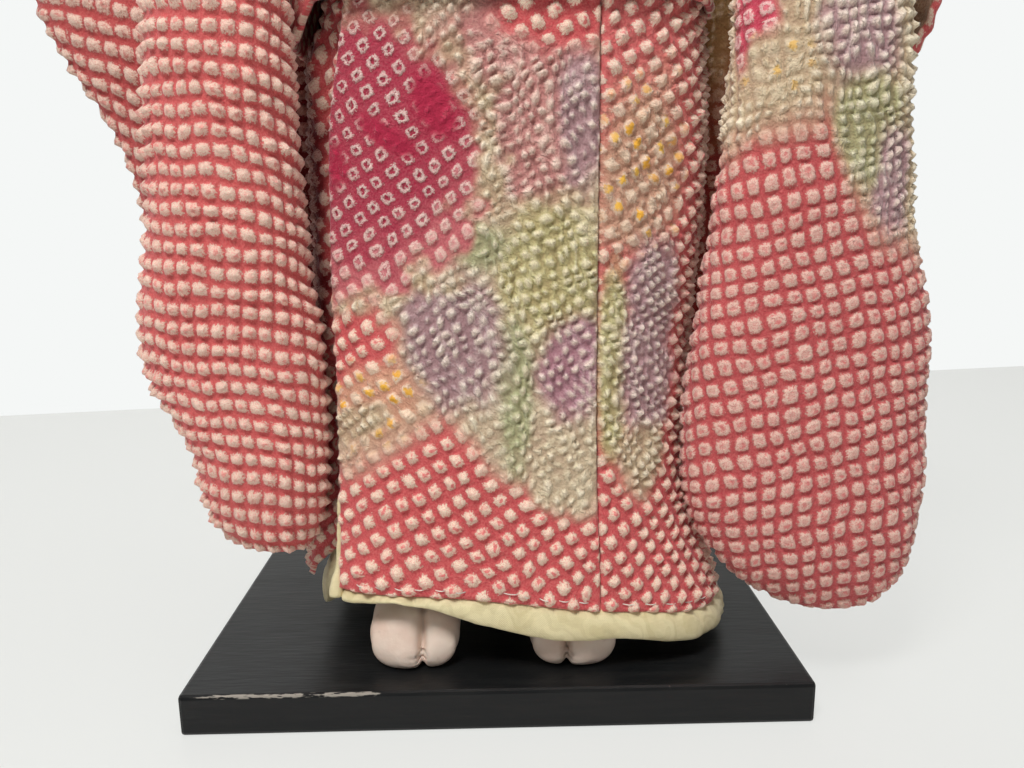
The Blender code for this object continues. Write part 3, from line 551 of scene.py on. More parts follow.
def new_group(
    name: str, inputs: dict[str, str], outputs: dict[str, str]
) -> tuple[Desk, Node, Node]:
    """Empty shader node group with named sockets, its desk and its two end nodes."""
    tree = bpy.data.node_groups.new(name, "ShaderNodeTree")
    for sockets, way in ((inputs, "INPUT"), (outputs, "OUTPUT")):
        for label, kind in sockets.items():
            tree.interface.new_socket(name=label, in_out=way, socket_type="NodeSocket" + kind)
    desk = Desk(tree)
    return desk, desk.node("NodeGroupInput"), desk.node("NodeGroupOutput")


def dot_print_group() -> bpy.types.NodeTree:
    """Group that prints tie-dyed dots in pattern cells.

    In each cell the reach is 0.55 times the larger and 0.45 times the root sum
    square of the two distances from the middle, over the share that the dot
    fills. Dots, rings, coloured tips and fibres are steps of that reach. Crinkle
    adds pale knobs and creases whose low lines are darkened as painted shade, and
    a low relief darkens the colour as painted shade in the low places.
    """
    desk, given, result = new_group(
        "dot_print",
        {"Cells": "Vector", "Ground": "Color", "Dot": "Color", "Marks": "Color", "Crinkle": "Float",
         "Relief": "Float", "Fill": "Vector", "Eye": "Float"},
        {"Color": "Color", "Height": "Float"},
    )
    source = given.outputs
    plain, ground_colour, dot_colour = source["Cells"], source["Ground"], source["Dot"]
    middle = (0.5, 0.5, 0.5)

    def fine(across: float, down: float, detail: float) -> Socket:
        """Noise in the plain cells, with its own scale across and down."""
        return desk.cloud(desk.scaled(plain, (across, down, 1.0)), 1.0, detail)

    def darker(colour: Socket, tint: Triple) -> Socket:
        """Colour times a tint."""
        return desk.mix(1.0, colour, tint, "MULTIPLY")

    frayed = desk.cloud(plain, 3.1, 3.0, colour=True)
    frayed = desk.scaled(desk.vector("SUBTRACT", frayed, middle), (0.30, 0.30, 0.0))
    cells = desk.vector("ADD", plain, frayed)
    centred = desk.scaled(desk.vector("FRACTION", cells), (2, 2, 0))
    centred = desk.vector("SUBTRACT", centred, (1, 1, 0))
    chance = desk.node("ShaderNodeTexWhiteNoise", noise_dimensions="3D")
    desk.wire(chance, Vector=desk.vector("FLOOR", cells))
    lot = chance.outputs["Value"]
    spread = desk.vector("ABSOLUTE", desk.vector("DIVIDE", centred, source["Fill"]))
    aside, upward, _ = desk.split(spread)
    square = desk.times(desk.maths("MAXIMUM", aside, upward), SQUARE_SHARE)
    reach = desk.plus(square, desk.times(desk.vector("LENGTH", spread), ROUND_SHARE))
    fibre = fine(9.0, 9.0, 4.0)
    ragged = desk.plus(reach, desk.times(desk.minus(fibre, 0.5), 1.25))
    dots, rings, tips = desk.split(source["Marks"], "Color")
    dot = desk.times(desk.ease(ragged, 1.06, 0.78), dots)
    band = desk.maths("ABSOLUTE", desk.minus(ragged, RING_REACH))
    ring = desk.times(desk.ease(band, 0.34, 0.16), rings)
    knob = desk.ease(source["Crinkle"], 0.14, 0.56)
    pale = desk.maths("MAXIMUM", desk.maths("MAXIMUM", dot, ring), knob)

    away = desk.vector("SUBTRACT", chance.outputs["Color"], middle)
    away = desk.vector("SUBTRACT", centred, desk.scaled(away, (0.55, 0.55, 0.0)))
    fray = desk.times(desk.minus(fine(5.0, 5.0, 2.0), 0.5), 1.1)
    from_eye = desk.plus(desk.vector("LENGTH", away), fray)
    eye = desk.times(desk.ease(from_eye, 0.36, 0.10), source["Eye"])
    eye = desk.times(eye, desk.ease(lot, 0.15, 0.6))
    deep = darker(ground_colour, (0.86, 0.80, 0.80))
    light = desk.mix(0.16, ground_colour, dot_colour)
    ground = desk.mix(desk.ease(fibre, 0.30, 0.72), deep, light)
    paler = desk.mix(0.35, dot_colour, srgb(250, 240, 222))
    shade = desk.mix(desk.times(lot, 0.10), paler, ground_colour)
    thread = fine(17.0, 17.0, 4.0)
    worn = desk.mix(desk.ease(thread, 0.58, 0.34, 0.0, 0.55), shade, ground_colour)
    colour = desk.mix(pale, ground, worn)
    colour = desk.mix(desk.times(eye, dots), colour, ground_colour)
    near = desk.ease(from_eye, 0.62, 0.30)
    tip = desk.times(desk.times(near, desk.ease(lot, 0.34, 0.42)), tips)
    colour = desk.mix(tip, colour, desk.mix(lot, srgb(238, 160, 40), srgb(236, 190, 80)))

    fold = desk.maths("ABSOLUTE", desk.minus(fine(3.4, 1.9, 3.0), 0.5))
    crease = desk.ease(fold, 0.0, 0.16)
    creased = desk.ease(source["Crinkle"], 0.02, 0.20)
    height = desk.plus(desk.times(fibre, 0.6), desk.times(pale, 0.4))
    height = desk.plus(height, desk.times(desk.times(crease, creased), 0.7))
    # Painted shade: crinkled cloth is darkened along the low lines of its creases.
    furrow_shade = desk.times(desk.minus(1.0, crease), desk.times(creased, 0.45))
    colour = desk.mix(furrow_shade, colour, darker(colour, (0.70, 0.60, 0.56)))
    # Painted shade: the colour is darkened where the relief is low, between the dots.
    hollow_shade = desk.ease(source["Relief"], 0.36, 0.0, 0.0, 0.72)
    hollow_shade = desk.times(hollow_shade, desk.ease(dots, 0.0, 1.0, 1.0, 0.40))
    colour = desk.mix(hollow_shade, colour, darker(colour, (0.62, 0.50, 0.50)))
    desk.wire(result, Color=colour, Height=height)
    return desk.tree


def weave_group() -> bpy.types.NodeTree:
    """Group with the height of a plain weave: crossed sine threads, and a slub tone."""
    desk, given, result = new_group(
        "plain_weave", {"Vector": "Vector", "Threads": "Float"}, {"Height": "Float", "Slub": "Float"}
    )
    spread = desk.node("ShaderNodeVectorMath", operation="SCALE")
    desk.wire(spread, Vector=given.outputs["Vector"], Scale=given.outputs["Threads"])
    x, y, z = desk.split(spread.outputs[0])
    height = desk.times(desk.maths("SINE", desk.plus(x, y)), desk.maths("SINE", z))
    slub = desk.cloud(desk.scaled(spread.outputs[0], (0.02, 0.02, 0.3)), 1.0, 2.0)
    desk.wire(result, Height=height, Slub=slub)
    return desk.tree


class Groups:
    """Shader node groups, each built once."""

    _made: dict[str, bpy.types.NodeTree] = {}

    @classmethod
    def get(cls, maker: Callable[[], bpy.types.NodeTree]) -> bpy.types.NodeTree:
        """The group of a maker function, built at its first use."""
        if maker.__name__ not in cls._made:
            cls._made[maker.__name__] = maker()
        return cls._made[maker.__name__]


def shader_of(name: str) -> tuple[Material, Desk, Node]:
    """New material with its desk and its Principled shader."""
    material = bpy.data.materials.new(name)
    material.use_nodes = True
    desk = Desk(material.node_tree)
    return material, desk, material.node_tree.nodes["Principled BSDF"]


def bumped(desk: Desk, shader: Node, height: Socket, distance: float) -> None:
    """Feed a height into the shader's normal."""
    bump = desk.node("ShaderNodeBump")
    desk.wire(bump, Strength=1.0, Distance=distance, Height=height)
    desk.wire(shader, Normal=bump.outputs[0])


@dataclass(frozen=True)
class CrepeFinish:
    """Tie-dyed silk crepe, printed in the piece's pattern cells."""

    name: str = "tie_dyed_crepe"
    fill: Pair = (0.71, 0.71)
    eye: float = 0.75
    roughness: float = 0.86
    sheen: float = 0.20

    def material(self) -> Material:
        """Make the material."""
        material, desk, shader = shader_of(self.name)
        marks, ground = desk.layer("marks").outputs, desk.layer("ground").outputs
        made = desk.use(
            Groups.get(dot_print_group), Cells=desk.cells(), Ground=ground["Color"], Relief=ground["Alpha"],
            Dot=desk.layer("dot").outputs["Color"], Marks=marks["Color"], Crinkle=marks["Alpha"],
            Fill=(*self.fill, 1.0), Eye=self.eye,
        )
        grain = desk.times(desk.cloud(desk.place(), 2600.0, 2.0), 0.45)
        crease = desk.times(desk.cloud(desk.place(), 900.0, 2.0), 1.1)
        height = desk.plus(desk.plus(made.outputs["Height"], grain), crease)
        bumped(desk, shader, height, 0.00048)
        desk.wire(
            shader, Base_Color=made.outputs["Color"], Roughness=self.roughness, Sheen_Weight=self.sheen,
            Sheen_Roughness=0.45, Specular_IOR_Level=0.25,
        )
        return material


@dataclass(frozen=True)
class SilkFinish:
    """Plain or damask silk in one colour with a second tone in its weave."""

    name: str
    colour: Triple
    second: Triple
    roughness: float = 0.55
    threads: float = 9000.0
    figure: float = 0.0

    def material(self) -> Material:
        """Make the material."""
        material, desk, shader = shader_of(self.name)
        place = desk.place()
        weave = desk.use(Groups.get(weave_group), Vector=place, Threads=self.threads)
        blotch = desk.ease(desk.cloud(place, 120.0, 3.0), 0.35, 0.70)
        share = desk.times(desk.plus(blotch, weave.outputs["Slub"]), 0.5)
        rough: object = self.roughness
        if self.figure:
            curls = desk.node("ShaderNodeTexWave", wave_type="RINGS", rings_direction="Y")
            desk.wire(curls, Vector=place, Scale=60.0, Distortion=14.0, Detail=1.0, Detail_Scale=2.0)
            figure = desk.times(desk.ease(curls.outputs["Fac"], 0.55, 0.75), self.figure)
            share = desk.plus(share, figure)
            rough = desk.minus(self.roughness + 0.08, desk.times(figure, 0.25))
        creases = desk.cloud(desk.scaled(place, (1.0, 1.0, 0.6)), 420.0, 3.0)
        bumped(desk, shader, desk.plus(desk.times(weave.outputs["Height"], 0.12), creases), 0.0004)
        desk.wire(
            shader, Base_Color=desk.mix(share, self.colour, self.second), Roughness=rough,
            Sheen_Weight=0.15, Specular_IOR_Level=0.35,
        )
        return material


@dataclass(frozen=True)
class LacquerFinish:
    """Black lacquer over a board, with worn patches along the top front edge."""

    name: str = "black_lacquer"
    black: Triple = srgb(20, 21, 22)
    worn: Triple = srgb(176, 168, 156)

    def material(self) -> Material:
        """Make the material; wear is masked by the distance to the board's top front edge."""
        material, desk, shader = shader_of(self.name)
        place = desk.place()
        across = desk.split(place)[0]

        def stretched(factors: Triple, scale: float, detail: float) -> Socket:
            """Noise with its own scale along each axis."""
            return desk.cloud(desk.scaled(place, factors), scale, detail)

        streaks = stretched((14.0, 110.0, 110.0), 4.0, 5.0)
        flecks = stretched((40.0, 500.0, 500.0), 3.0, 4.0)
        base = desk.mix(desk.ease(streaks, 0.35, 0.75), self.black, srgb(26, 26, 26))
        base = desk.mix(desk.ease(flecks, 0.68, 0.80, 0.0, 0.5), base, srgb(66, 66, 64))
        from_edge = desk.vector("SUBTRACT", desk.scaled(place, (0, 1, 1)), (0, BOARD_FRONT, BOARD_TOP))
        ragged = stretched((90.0, 420.0, 420.0), 3.0, 4.0)
        left = desk.times(desk.ease(across, -0.100, -0.082), desk.ease(across, -0.033, -0.037))
        chips = desk.ease(stretched((160.0, 30.0, 30.0), 1.0, 2.0), 0.60, 0.72)
        few = desk.times(chips, desk.ease(across, -0.060, 0.030, 0.25, 1.0))
        strength = desk.maths("MAXIMUM", left, few)
        width = desk.times(desk.times(strength, desk.ease(ragged, 0.20, 0.60)), 0.0011)
        wear = desk.ease(desk.minus(desk.vector("LENGTH", from_edge), width), 0.0001, -0.0003)
        wear = desk.times(wear, 0.7)
        dents = stretched((20.0, 120.0, 120.0), 6.0, 4.0)
        bumped(desk, shader, desk.minus(dents, desk.times(wear, 0.5)), 0.00010)
        rough = desk.plus(desk.ease(streaks, 0.3, 0.8, 0.34, 0.44), desk.times(wear, 0.4))
        base = desk.mix(wear, base, self.worn)
        desk.wire(shader, Base_Color=base, Roughness=rough, Specular_IOR_Level=0.24)
        return material


@dataclass(frozen=True)
class GofunFinish:
    """Shell-white coat over moulded composition; face paint comes from the ground layer."""

    name: str = "gofun"
    pale: Triple = srgb(230, 210, 194)
    flush: Triple = srgb(212, 178, 160)
    painted: bool = False

    def material(self) -> Material:
        """Make the material."""
        material, desk, shader = shader_of(self.name)
        place = desk.place()
        blotch = desk.ease(desk.cloud(place, 90.0, 3.0), 0.40, 0.75)
        base = desk.mix(desk.times(blotch, 0.55), self.pale, self.flush)
        soil = desk.ease(desk.cloud(place, 380.0, 4.0), 0.62, 0.80, 0.0, 0.28)
        base = desk.mix(soil, base, srgb(176, 138, 126))
        if self.painted:
            paint = desk.layer("ground")
            base = desk.mix(paint.outputs["Alpha"], base, paint.outputs["Color"])
        bumped(desk, shader, desk.cloud(place, 700.0, 4.0), 0.00012)
        desk.wire(
            shader, Base_Color=base, Roughness=desk.ease(blotch, 0.0, 1.0, 0.38, 0.52),
            Subsurface_Weight=0.08, Subsurface_Radius=(0.0015, 0.0007, 0.0005),
        )
        return material


@dataclass(frozen=True)
class BrocadeFinish:
    """Figured obi silk: hexagon lattice in two woven tones with fine ribs."""

    name: str = "obi_brocade"
    warp: Triple = srgb(196, 160, 96)
    figure: Triple = srgb(150, 62, 58)
    size: float = 150.0

    def material(self) -> Material:
        """Make the material."""
        material, desk, shader = shader_of(self.name)
        place = desk.place()
        cells = desk.node("ShaderNodeTexVoronoi", feature="DISTANCE_TO_EDGE")
        desk.wire(cells, Vector=desk.scaled(place, (1.0, 0.6, 1.0)), Scale=self.size, Randomness=0.0)
        line = desk.ease(cells.outputs["Distance"], 0.10, 0.05)
        weave = desk.use(Groups.get(weave_group), Vector=place, Threads=7000.0)
        tone = desk.mix(weave.outputs["Slub"], self.warp, srgb(222, 196, 140))
        height = desk.plus(desk.times(weave.outputs["Height"], 0.3), desk.times(line, 0.6))
        bumped(desk, shader, height, 0.0003)
        colour = desk.mix(line, tone, self.figure)
        desk.wire(shader, Base_Color=colour, Roughness=0.5, Sheen_Weight=0.2)
        return material


@dataclass(frozen=True)
class HairFinish:
    """Black wig hair with fine strands down the head."""

    name: str = "wig_hair"

    def material(self) -> Material:
        """Make the material; strands follow the piece's own cells."""
        material, desk, shader = shader_of(self.name)
        strands = desk.cloud(desk.scaled(desk.cells(), (1.0, 0.02, 0.0)), 3.0, 4.0)
        bumped(desk, shader, strands, 0.0005)
        colour = desk.mix(strands, srgb(14, 13, 14), srgb(44, 38, 36))
        desk.wire(shader, Base_Color=colour, Roughness=desk.ease(strands, 0.3, 0.7, 0.32, 0.5))
        return material


@dataclass(frozen=True)
class EyeFinish:
    """Dark glass eye: iris and pupil by the distance from the eye's front axis."""

    name: str
    centre: Triple

    def material(self) -> Material:
        """Make the material."""
        material, desk, shader = shader_of(self.name)
        away = desk.vector("SUBTRACT", desk.place(), self.centre)
        from_axis = desk.vector("LENGTH", desk.scaled(away, (1, 0, 1)))
        iris = desk.mix(desk.ease(from_axis, 0.0011, 0.0013), srgb(10, 8, 8), srgb(66, 40, 26))
        eye = desk.mix(desk.ease(from_axis, 0.0026, 0.0028), iris, srgb(226, 220, 212))
        veins = desk.times(desk.cloud(desk.place(), 900.0, 2.0), 0.1)
        colour = desk.mix(veins, eye, srgb(150, 110, 90))
        desk.wire(shader, Base_Color=colour, Roughness=0.05, Coat_Weight=0.6)
        return material


@dataclass(frozen=True)
class SteelFinish:
    """Brushed steel of the hidden support post."""

    name: str = "brushed_steel"

    def material(self) -> Material:
        """Make the material."""
        material, desk, shader = shader_of(self.name)
        brushed = desk.cloud(desk.scaled(desk.place(), (900.0, 900.0, 20.0)), 1.0, 3.0)
        colour = desk.mix(brushed, srgb(150, 150, 154), srgb(186, 186, 190))
        rough = desk.ease(brushed, 0.3, 0.7, 0.25, 0.4)
        desk.wire(shader, Base_Color=colour, Metallic=1.0, Roughness=rough)
        return material


# Dye


class Area(Enum):
    """How a dye field is bounded."""

    BLOB = "blob"
    BELOW = "below"


@dataclass(frozen=True)
class DyeField:
    """One field of dye: where it lies, its colours and its marks.

    For a blob the distance is the root of ((x - cx)/rx)^2 + ((h - ch)/rh)^2, with
    a little noise; below an edge it is how far the height is over the edge. The
    field's share falls from 1 to 0 by a smoothstep across its softness.
    """

    ground: Triple
    dot: Triple
    marks: tuple[float, float, float, float]
    centre: Pair = (0.0, 0.0)
    radii: Pair = (1.0, 1.0)
    lean: float = 0.0
    softness: float = 0.30
    area: Area = Area.BLOB
    edge: tuple[Pair, ...] = ()
    ragged: float = 0.16

    def share(self, s: Grid, h: Grid, seed: int) -> Grid:
        """Share of this field at pattern places s, h in metres."""
        place = np.stack([s, h], axis=-1)
        stray = noise(place, 0.007, seed) + 0.5 * noise(place, 0.003, seed + 1)
        if self.area is Area.BELOW:
            line = np.array(self.edge) * MM
            over = (h - np.interp(s, line[:, 0], line[:, 1])) / (8 * MM)
            over = over + stray * self.ragged * 2.0
            return smooth(0.5 - over / (2 * self.softness * 2.0))
        angle = math.radians(self.lean)
        x, y = s - self.centre[0] * MM, h - self.centre[1] * MM
        along = x * math.cos(angle) + y * math.sin(angle)
        up = y * math.cos(angle) - x * math.sin(angle)
        far = np.hypot(along / (self.radii[0] * MM), up / (self.radii[1] * MM)) + stray * self.ragged
        return smooth((1.0 + self.softness - far) / (2 * self.softness))


@dataclass(frozen=True)
class Dye:
    """Fields laid over each other in order, from the base field up."""

    base: DyeField
    fields: tuple[DyeField, ...] = ()

    def paint(self, s: Grid, h: Grid) -> tuple[Grid, Grid, Grid]:
        """Ground colour, dot colour and marks at each place."""
        values = [np.broadcast_to(np.array(v), (*s.shape, len(v))).copy() for v in self.parts(self.base)]
        for seed, one in enumerate(self.fields):
            share = one.share(s, h, 11 + 7 * seed)[..., None]
            for value, goal in zip(values, self.parts(one)):
                value += (np.array(goal) - value) * share
        return tuple(values)

    @staticmethod
    def parts(one: DyeField) -> Rows:
        """Ground, dot and marks of a field."""
        return one.ground, one.dot, one.marks


@dataclass(frozen=True)
class Lattice:
    """Cells of the tied dots: pitch, turn and how far they wander."""

    across: float
    down: float
    turn: float = 0.0
    slope: float = 0.0
    fill: Pair = (0.71, 0.71)
    wander: float = 0.42
    seed: int = 3

    def cells(self, s: Grid, h: Grid) -> Grid:
        """Pattern coordinates in cells: places turned, divided by the pitch and warped by noise."""
        angle, slope = math.radians(self.turn), math.tan(math.radians(self.slope))
        lifted = h - s * slope
        a = s * math.cos(angle) + lifted * math.sin(angle)
        b = lifted * math.cos(angle) - s * math.sin(angle)
        place = np.stack([s, h], axis=-1)

        def strayed(value: Grid, seed: int) -> Grid:
            slow = self.wander * noise(place, 0.034, seed)
            return value + slow + 0.16 * noise(place, 0.0075, seed + 1)

        u, v = strayed(a / self.across, self.seed), strayed(b / self.down, self.seed + 2)
        return np.stack([u, v], axis=-1)

    def reach(self, cells: Grid) -> Grid:
        """0 at a dot's middle and 1 at its border, squarish in between."""
        spread = np.abs(2.0 * (cells - np.floor(cells)) - 1.0) / np.array(self.fill)
        rounded = np.hypot(spread[..., 0], spread[..., 1])
        return SQUARE_SHARE * spread.max(axis=-1) + ROUND_SHARE * rounded

    def relief(self, cells: Grid, s: Grid, h: Grid, marks: Grid) -> tuple[Grid, Grid]:
        """Height of the cloth from 0 to 1, and the crinkle's part of it.

        Dots are pyramids of 1 - reach to a power, rings are low ridges at reach
        0.62, and crinkle is smaller knobs mixed with upright creases.
        """
        place = np.stack([s, h], axis=-1)
        reach = self.reach(cells)
        peak = np.clip(1.10 - reach, 0.0, 1.0)
        size = 0.96 + 0.34 * noise(cells, 1.7, self.seed + 4)
        peaked = 0.85 * peak**1.15 + 0.20 * smooth(2.4 * peak)
        dots = (peaked + 0.10 * peak * noise(cells, 0.28, 57)) * size
        rings = np.exp(-(((reach - RING_REACH) / 0.20) ** 2))
        sway = np.stack([noise(place, 0.0062, 51), noise(place, 0.0062, 52)], axis=-1)
        loose = cells * 1.62 + 0.46 * sway
        knobs = np.clip(1.12 - self.reach(loose), 0.0, 1.0)
        knobs = knobs * (0.75 + 0.45 * noise(loose, 1.3, 55))
        pleats = 1.0 - np.abs(noise(place, (0.0021, 0.0090), 53)) ** 0.6
        lumps = 0.5 + 0.5 * noise(place, (0.0042, 0.0068), 54)
        crinkle = np.clip(0.82 * knobs + 0.36 * pleats + 0.24 * lumps - 0.18, 0.0, 1.0)
        tied_share, ring_share, _, crinkle_share = np.moveaxis(marks, -1, 0)
        height = tied_share * dots + 0.34 * ring_share * rings + 1.30 * crinkle_share * crinkle
        return height, crinkle_share * crinkle


CORAL = srgb(218, 82, 90)
CORAL_PALE = srgb(224, 104, 106)
CREAM_DOT = srgb(230, 208, 180)
CRIMSON = srgb(196, 44, 82)
CREAM = srgb(216, 196, 160)
CREAM_PALE = srgb(244, 230, 200)
YELLOW_GREEN = srgb(206, 200, 142)
GREEN = srgb(188, 194, 148)
GREEN_PALE = srgb(238, 228, 186)
LAVENDER = srgb(198, 164, 168)
LAVENDER_PALE = srgb(238, 218, 204)
DUSTY_PINK = srgb(212, 150, 144)
PINK_PALE = srgb(240, 208, 192)

TIED = (1.0, 0.0, 0.0, 0.0)
CRINKLED = (0.0, 0.0, 0.0, 1.0)
RINGED = (0.0, 1.0, 0.0, 0.0)
STAINED = (0.0, 0.0, 0.0, 0.3)


def tied(centre: Pair, radii: Pair, **more: object) -> DyeField:
    """Coral field of cream dots."""
    return DyeField(CORAL, CREAM_DOT, TIED, centre, radii, **more)


def crinkled(
    ground: Triple,
    pale: Triple,
    centre: Pair,
    radii: Pair,
    **more: object,
) -> DyeField:
    """Field of loose crinkled cloth in two tones."""
    return DyeField(ground, pale, CRINKLED, centre, radii, **more)


CORAL_BELOW = ((-60, 66), (-46, 62), (-14, 81), (1, 64), (19, 53), (32, 64), (46, 49), (57, 72), (90, 90))
GUSSET_DYE = Dye(
    DyeField(srgb(226, 210, 178), CREAM_PALE, (0.0, 0.0, 0.0, 0.8)),
    (
        DyeField(CORAL, CREAM_DOT, TIED, area=Area.BELOW, edge=CORAL_BELOW, softness=0.5),
        tied((-40, 97), (14, 17)),
        DyeField(
            srgb(224, 166, 136), CREAM_PALE, (0.75, 0.0, 1.0, 0.35), (-35, 84), (18, 11),
            lean=24, softness=0.4,
        ),
        crinkled(CREAM, CREAM_PALE, (-42, 77), (12, 5), lean=20),
        crinkled(DUSTY_PINK, PINK_PALE, (9.6, 169.5), (23, 31)),
        tied((19, 194), (16, 13.4)),
        crinkled(LAVENDER, LAVENDER_PALE, (25.8, 163), (7, 18)),
        crinkled(YELLOW_GREEN, GREEN_PALE, (17, 121), (16, 21)),
        crinkled(GREEN, srgb(216, 208, 168), (6.8, 86.8), (5, 24)),
        crinkled(GREEN, srgb(216, 206, 172), (-6.1, 129.8), (11, 7)),
        crinkled(srgb(190, 158, 162), srgb(236, 220, 206), (-11.8, 104.6), (14, 24), lean=10),
        crinkled(srgb(198, 150, 164), LAVENDER_PALE, (23.4, 93.9), (10, 16)),
        DyeField(srgb(226, 212, 178), CREAM_PALE, (0.0, 0.0, 0.0, 0.75), (23.5, 63.8), (13, 13)),
        crinkled(CREAM, CREAM_PALE, (-44, 154), (46, 43), softness=0.10),
        DyeField(
            srgb(214, 108, 118), srgb(232, 208, 190), (0.55, 0.75, 0.0, 0.0), (-44, 151.5), (39, 37),
            softness=0.10,
        ),
        DyeField(CRIMSON, srgb(226, 196, 190), RINGED, (-45, 160), (38, 35), softness=0.20),
        DyeField(CRIMSON, CRIMSON, STAINED, (-29, 160), (9, 3), lean=-30, softness=0.4),
        DyeField(CRIMSON, CRIMSON, STAINED, (-46, 152), (5, 6), softness=0.4),
        DyeField(CRIMSON, CRIMSON, STAINED, (-15, 168), (5, 10), lean=24, softness=0.4),
    ),
)
PANEL_DYE = Dye(
    DyeField(CORAL_PALE, srgb(228, 206, 182), (1.0, 0.0, 0.0, 0.25)),
    (
        DyeField(
            srgb(214, 166, 138), CREAM_PALE, (0.55, 0.0, 1.0, 0.6), (43, 150), (14, 25),
            lean=-12, softness=0.4,
        ),
        crinkled(YELLOW_GREEN, GREEN_PALE, (35.5, 94), (5, 30)),
        crinkled(LAVENDER, LAVENDER_PALE, (49, 116), (10, 14)),
        crinkled(LAVENDER, LAVENDER_PALE, (47, 92), (10, 22)),
        crinkled(CREAM, CREAM_PALE, (47, 65), (10, 12)),
        DyeField(CORAL, CREAM_DOT, TIED, area=Area.BELOW, edge=CORAL_BELOW, softness=0.5),
        tied((84, 110), (16, 90)),
    ),
)
RIGHT_SLEEVE_EDGE = ((0, 150), (62, 154), (76, 160), (91, 164), (98, 143), (107, 131), (119, 127), (140, 120))
RIGHT_SLEEVE_DYE = Dye(
    crinkled(CREAM, CREAM_PALE, (0, 0), (1, 1)),
    (
        DyeField(srgb(222, 60, 96), srgb(236, 206, 200), (0.3, 0.9, 0.0, 0.0), (67, 187), (9, 13)),
        DyeField(CREAM, CREAM_PALE, (0.3, 0.0, 0.7, 0.5), (76, 176), (10, 9)),
        crinkled(LAVENDER, LAVENDER_PALE, (99, 184), (12, 13)),
        crinkled(srgb(186, 186, 136), srgb(222, 214, 180), (103, 160), (12, 15)),
        crinkled(LAVENDER, LAVENDER_PALE, (112, 146), (7, 16)),
        DyeField(
            srgb(208, 82, 88), srgb(224, 192, 172), (0.62, 0.85, 0.0, 0.0), area=Area.BELOW,
            edge=RIGHT_SLEEVE_EDGE, softness=0.5,
        ),
        DyeField(CORAL, CREAM_DOT, TIED, (84, 250), (70, 42), softness=0.2),
    ),
)
LEFT_SLEEVE_DYE = Dye(DyeField(srgb(222, 92, 94), srgb(222, 190, 168), TIED))
# Painted shade: the left rear fold has the sleeve's coral and cream darkened, as if it lay in shadow.
LEFT_FOLD_DYE_AND_PAINTED_SHADE = Dye(DyeField(srgb(192, 72, 74), srgb(204, 170, 150), TIED))
# Painted shade: the sleeves' inner layers take darkened colours, nearly black red on the left and dark red
# with dark tan on the right, for the shadow in the gaps beside the skirt.
LEFT_LAYER_DYE_AND_PAINTED_SHADE = Dye(DyeField(srgb(110, 18, 26), srgb(132, 52, 50), TIED))
RIGHT_LAYER_DYE_AND_PAINTED_SHADE = Dye(
    DyeField(srgb(150, 50, 50), srgb(170, 120, 100), TIED),
    (crinkled(srgb(168, 138, 84), srgb(200, 174, 128), (66, 232), (24, 62)),),
)
# Coral dots; the dark red field at the left side is painted shade in the slot between the left sleeve and the
# skirt.
UNDER_DYE_AND_PAINTED_SHADE = Dye(
    DyeField(CORAL, CREAM_DOT, TIED),
    (DyeField(srgb(120, 22, 30), srgb(150, 60, 60), TIED, (-64, 150), (26, 84), softness=0.10),),
)
UPPER_DYE = Dye(
    DyeField(CORAL, CREAM_DOT, TIED),
    (
        crinkled(LAVENDER, LAVENDER_PALE, (26, 272), (14, 16)),
        crinkled(CREAM, CREAM_PALE, (-24, 280), (18, 12)),
        DyeField(CRIMSON, srgb(236, 206, 206), RINGED, (-34, 262), (14, 12)),
    ),
)
BACK_DYE = Dye(
    DyeField(CORAL, CREAM_DOT, TIED),
    (
        crinkled(CREAM, CREAM_PALE, (-150, 130), (40, 34)),
        crinkled(YELLOW_GREEN, GREEN_PALE, (-138, 142), (18, 20)),
        crinkled(LAVENDER, LAVENDER_PALE, (-166, 118), (16, 22)),
        DyeField(CRIMSON, srgb(236, 206, 206), RINGED, (-196, 160), (24, 26)),
        crinkled(DUSTY_PINK, PINK_PALE, (-120, 176), (20, 18)),
    ),
)


def four(colour: Grid) -> Grid:
    """Colour array with a fourth channel of ones."""
    return np.concatenate([colour, np.ones((*colour.shape[:-1], 1))], axis=-1)


def crepe_paint(dye: Dye, lattice: Lattice, s: Grid, h: Grid) -> tuple[Grid, dict[str, Grid]]:
    """Relief from 0 to 1 and the paint layers of crepe at places s, h.

    Returns:
        The relief, and cells, ground, dot and marks for the skin.
    """
    ground, dot, marks = dye.paint(s, h)
    cells = lattice.cells(s, h)
    height, crinkle = lattice.relief(cells, s, h, marks)
    marks = np.concatenate([marks[..., :3], crinkle[..., None]], axis=-1)
    ground = np.concatenate([ground, height[..., None]], axis=-1)
    return height, {"cells": cells, "ground": ground, "dot": four(dot), "marks": marks}


# Pieces


def finish_piece(item: Item, slot: str, *nodes: str) -> Item:
    """Let a piece ride on the body and stand for its CAD nodes."""
    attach(item, BODY)
    if nodes:
        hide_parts(*nodes)
    return item


def steps_between(length: float, step: float, block: int) -> int:
    """Number of grid lines over a length, one more than a multiple of block."""
    return max(1, math.ceil(length / step / block)) * block + 1


